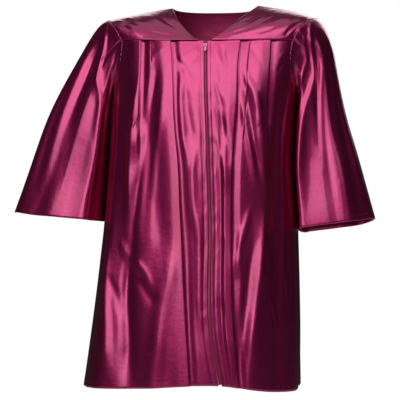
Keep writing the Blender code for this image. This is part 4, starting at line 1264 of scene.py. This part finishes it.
def makeRowTree():
    # copies of a shape along a curve, each of a slightly different size
    tree, given, result = newGroup(
        "copiesAlongLine",
        {"Geometry": "Geometry", "Pitch": "Float", "Unevenness": "Float", "Shape": "Object",
         "Finish": "Material"},
        {"Geometry": "Geometry"}, "GeometryNodeTree")
    nodes, links = tree.nodes, tree.links
    points = nodes.new("GeometryNodeCurveToPoints")
    points.mode = "LENGTH"
    links.new(given.outputs["Geometry"], points.inputs["Curve"])
    links.new(given.outputs["Pitch"], points.inputs["Length"])
    shape = nodes.new("GeometryNodeObjectInfo")
    shape.transform_space = "ORIGINAL"
    links.new(given.outputs["Shape"], shape.inputs["Object"])
    copies = nodes.new("GeometryNodeInstanceOnPoints")
    links.new(points.outputs["Points"], copies.inputs["Points"])
    links.new(shape.outputs["Geometry"], copies.inputs["Instance"])
    links.new(points.outputs["Rotation"], copies.inputs["Rotation"])
    sizes = nodes.new("FunctionNodeRandomValue")
    sizes.data_type = "FLOAT"
    sizes.inputs["Seed"].default_value = 4
    low, high = nodes.new("ShaderNodeMath"), nodes.new("ShaderNodeMath")
    for node, operation, key in ((low, "SUBTRACT", 2), (high, "ADD", 3)):
        node.operation = operation
        node.inputs[0].default_value = 1.0
        links.new(given.outputs["Unevenness"], node.inputs[1])
        links.new(node.outputs[0], sizes.inputs[key])
    links.new(sizes.outputs[1], copies.inputs["Scale"])
    real = nodes.new("GeometryNodeRealizeInstances")
    finish = nodes.new("GeometryNodeSetMaterial")
    links.new(copies.outputs["Instances"], real.inputs["Geometry"])
    links.new(real.outputs["Geometry"], finish.inputs["Geometry"])
    links.new(given.outputs["Finish"], finish.inputs["Material"])
    links.new(finish.outputs["Geometry"], result.inputs["Geometry"])
    return tree


rowTree = makeRowTree()


def copiesAlong(name, lines, shape, material, pitch, unevenness=0.0):
    # copies of a shape along lines of points, the shape's Z the way the line runs
    curve = bpy.data.curves.new(name + "Line", "CURVE")
    curve.dimensions = "3D"
    curve.twist_mode = "Z_UP"
    for points in lines:
        spline = curve.splines.new("POLY")
        spline.points.add(len(points) - 1)
        for point, spot in zip(spline.points, points):
            point.co = (*spot, 1)
    guide = placed(name + "Line", curve)
    maker = guide.modifiers.new("copies", "NODES")
    maker.node_group = rowTree
    wanted = {"Pitch": pitch, "Unevenness": unevenness, "Shape": shape, "Finish": material}
    for item in rowTree.interface.items_tree:
        if item.in_out == "INPUT" and item.name in wanted:
            maker[item.identifier] = wanted[item.name]
    bpy.context.view_layer.update()
    made = bpy.data.meshes.new_from_object(guide.evaluated_get(bpy.context.evaluated_depsgraph_get()))
    bpy.data.objects.remove(guide)
    made.name = name
    piece = placed(name, made)
    made.materials.clear()
    made.materials.append(material)
    made.polygons.foreach_set("material_index", [0] * len(made.polygons))
    made.shade_smooth()
    return piece


def bead(name, long, wide, thick, sides, rings):
    # a rod along Z, rounded towards its ends
    verts, faces = [], []
    for r in range(rings + 1):
        share = r / rings
        z = (share - 0.5) * long
        swell = math.sqrt(max(0.12, 1 - (2 * share - 1) ** 4))
        for s in range(sides):
            a = 2 * math.pi * s / sides
            verts.append((math.cos(a) * wide / 2 * swell, math.sin(a) * thick / 2 * swell, z))
    for r in range(rings):
        for s in range(sides):
            n = (s + 1) % sides
            faces.append((r * sides + s, r * sides + n, (r + 1) * sides + n, (r + 1) * sides + s))
    faces.append(tuple(range(sides))[::-1])
    faces.append(tuple(rings * sides + s for s in range(sides)))
    mesh = bpy.data.meshes.new(name)
    mesh.from_pydata(verts, [], faces)
    return bpy.data.objects.new(name, mesh)


def makeCoil():
    heights = np.linspace(zipPart["top"], zipPart["end"], zipPart["coilPoints"])
    line = [point + out * zipPart["coilOut"] for point, up, out, across in map(zipPlace, heights)]
    long = zipPart["pitch"] * zipPart["toothShare"]
    tooth = bead("coilTooth", long, zipPart["toothWide"], 2 * zipPart["coilRadius"], sides=8, rings=3)
    piece = copiesAlong("zipCoilTeeth", [line], tooth, coilNylon, zipPart["pitch"])
    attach(piece, "robe")
    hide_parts("zip_coil")


makeCoil()


def solidOf(name, make, place, material):
    # builds a mesh with bmesh in the slider's own frame and puts it in place
    shape = bmesh.new()
    make(shape)
    bmesh.ops.remove_doubles(shape, verts=shape.verts, dist=1e-6)
    bmesh.ops.recalc_face_normals(shape, faces=shape.faces)
    mesh = bpy.data.meshes.new(name)
    shape.to_mesh(mesh)
    shape.free()
    mesh.transform(place)
    mesh.materials.append(material)
    return placed(name, mesh)


def rounded(piece, width):
    bevel = piece.modifiers.new("rounding", "BEVEL")
    bevel.width = width
    bevel.segments = 3
    bevel.limit_method = "ANGLE"
    piece.data.shade_smooth()


def slab(shape, outline, low, high):
    # a flat plate from an outline in the frame's own X and Y
    bottom = [shape.verts.new((x, y, low)) for x, y in outline]
    top = [shape.verts.new((x, y, high)) for x, y in outline]
    shape.faces.new(bottom[::-1])
    shape.faces.new(top)
    for i in range(len(outline)):
        j = (i + 1) % len(outline)
        shape.faces.new((bottom[i], bottom[j], top[j], top[i]))


def sliderOutline(width, long):
    # the shield shape of a slider's plates: wide shoulders above, narrower below
    half, tall = width / 2, long / 2
    right = [
        (0.0, 1.0), (0.55, 0.97), (0.92, 0.82), (1.0, 0.45),
        (0.92, 0.0), (0.74, -0.45), (0.66, -0.80), (0.50, -1.0)]
    return [(half * x, tall * y) for x, y in right] + [(-half * x, tall * y) for x, y in right[:0:-1]]


def makeSlider():
    width, long, high = zipPart["sliderSize"]
    bar, stretch, arch = zipPart["bridge"]
    opening, clear = zipPart["bridgeHole"]

    def shield(shape):
        step, (narrow, short) = high * zipPart["shieldStep"], zipPart["shieldTop"]
        slab(shape, sliderOutline(width, long), 0, step)
        slab(shape, sliderOutline(width * narrow, long * short), step, high)

    def arc(shape):
        # the bridge: a bent bar with an eye under it
        bends, sunk = 12, zipPart["bridgeSunk"]

        def bow(wide, tall):
            points = []
            for i in range(bends + 1):
                a = math.pi * i / bends
                points.append((-math.cos(a) * wide / 2, high - sunk + math.sin(a) ** 0.6 * (tall + sunk)))
            return points

        outer, inner = bow(stretch, arch), bow(opening, clear)
        ring = []
        for x in (-bar / 2, bar / 2):
            ring.append([[shape.verts.new((x, y, z)) for y, z in line] for line in (outer, inner)])
        (o0, i0), (o1, i1) = ring
        for k in range(bends):
            shape.faces.new((o0[k], o0[k + 1], o1[k + 1], o1[k]))
            shape.faces.new((i0[k + 1], i0[k], i1[k], i1[k + 1]))
            shape.faces.new((o0[k + 1], o0[k], i0[k], i0[k + 1]))
            shape.faces.new((o1[k], o1[k + 1], i1[k + 1], i1[k]))
        shape.faces.new((o0[0], o1[0], i1[0], i0[0]))
        shape.faces.new((o1[bends], o0[bends], i0[bends], i1[bends]))

    place = zipMatrix(zipPart["sliderHeight"], zipPart["sliderOut"])
    for name, make in (("sliderBody", shield), ("sliderBridge", arc)):
        piece = solidOf(name, make, place, pinkMetal)
        rounded(piece, zipPart["sliderRounding"])
        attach(piece, "robe")
        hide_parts("zip_slider")


def makeTab():
    half, high = zipPart["tabWidth"] / 2, zipPart["tabWindow"][1]
    low = high - zipPart["tabLength"]
    wide, start, end = zipPart["tabWindow"]
    thick = zipPart["tabThick"] / 2

    def ring(shape, z, outer):
        return [shape.verts.new((x, y, z)) for x, y in outer]

    def tab(shape):
        # outside and window are sampled by the same count, so their rings join face to face
        outside, window = [], []
        for i in range(zipPart["tabPoints"]):
            a = 2 * math.pi * i / zipPart["tabPoints"]
            c, s = math.cos(a), math.sin(a)
            reach = 1 / max(abs(c), abs(s))
            corner = (abs(c) ** 8 + abs(s) ** 8) ** (-1 / 8)
            y = s * corner
            outside.append((c * corner * half, y * high if y > 0 else -y * low))
            square = min(reach, corner * 1.03)
            window.append((c * square * wide / 2, (-start - end) / 2 + s * square * (end - start) / 2))
        loops = [ring(shape, z, line) for z, line in (
            (thick, outside), (thick, window), (-thick, window), (-thick, outside))]
        for a, b in zip(loops, loops[1:] + loops[:1]):
            for i in range(zipPart["tabPoints"]):
                j = (i + 1) % zipPart["tabPoints"]
                shape.faces.new((a[i], a[j], b[j], b[i]))

    rise = zipPart["sliderOut"] + zipPart["sliderSize"][2] + zipPart["pivotRise"]
    place = zipMatrix(zipPart["sliderHeight"], rise, zipPart["pivotDown"])
    piece = solidOf("pullTab", tab, place, pinkMetal)
    rounded(piece, zipPart["tabRounding"])
    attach(piece, "pull_tab")
    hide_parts("pull_tab")


makeSlider()
makeTab()
print("zip made")


# Stitches: hems, cuffs and both sides of the zip

stitch = dict(
    pitch=0.0026, long=0.0019, wide=0.00045, thick=0.00035, hemUp=0.0095, zipAside=0.0088,
    zipFrom=-0.0715, zipTo=-0.676, zipPoints=260, zipDrift=0.0005, zipOut=0.0006, uneven=0.10,
)


def rowAbove(grid, facing, up, out=0.0004):
    # the line that lies a set height above a panel's lower edge
    heights = np.linalg.norm(grid - grid[-1][None], axis=-1)
    line = []
    for c in range(grid.shape[1]):
        column = heights[:, c]
        r = len(column) - 1
        while column[r] < up and r > 0:
            r -= 1
        share = (up - column[r + 1]) / (column[r] - column[r + 1])
        line.append(grid[r + 1, c] + (grid[r, c] - grid[r + 1, c]) * share + facing[c] * out)
    return np.array(line)


def makeStitches(name, lines):
    shape = bead(name + "Shape", stitch["long"], stitch["wide"], stitch["thick"], sides=5, rings=3)
    piece = copiesAlong(name, lines, shape, satinThread, stitch["pitch"], stitch["uneven"])
    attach(piece, "robe")


hemLines = []
for grid in (leftFront, rightFront, backPanel):
    hemLines.append(rowAbove(grid, outwardAtFoot(grid), stitch["hemUp"]))
makeStitches("hemStitches", hemLines)
cuffLines = []
for grid, facing in sleeveGrids:
    line = rowAbove(grid, facing[-1], stitch["hemUp"])
    cuffLines.append(np.vstack([line, line[:1]]))
makeStitches("cuffStitches", cuffLines)
zipLines = []
for side in (-1, 1):
    heights = np.linspace(stitch["zipFrom"], stitch["zipTo"], stitch["zipPoints"])
    aside = stitch["zipAside"] + stitch["zipDrift"] * drift(heights / 0.03, 0 * heights + side, 77)
    line = []
    for height, off in zip(heights, aside):
        middle = float(zipTurn(height))
        turn = middle + side * gapTurn(middle, height, off)
        line.append(bodySkin(turn, height, stitch["zipOut"], 0))
    zipLines.append(np.array(line))
makeStitches("zipStitches", zipLines)
print("stitches made")
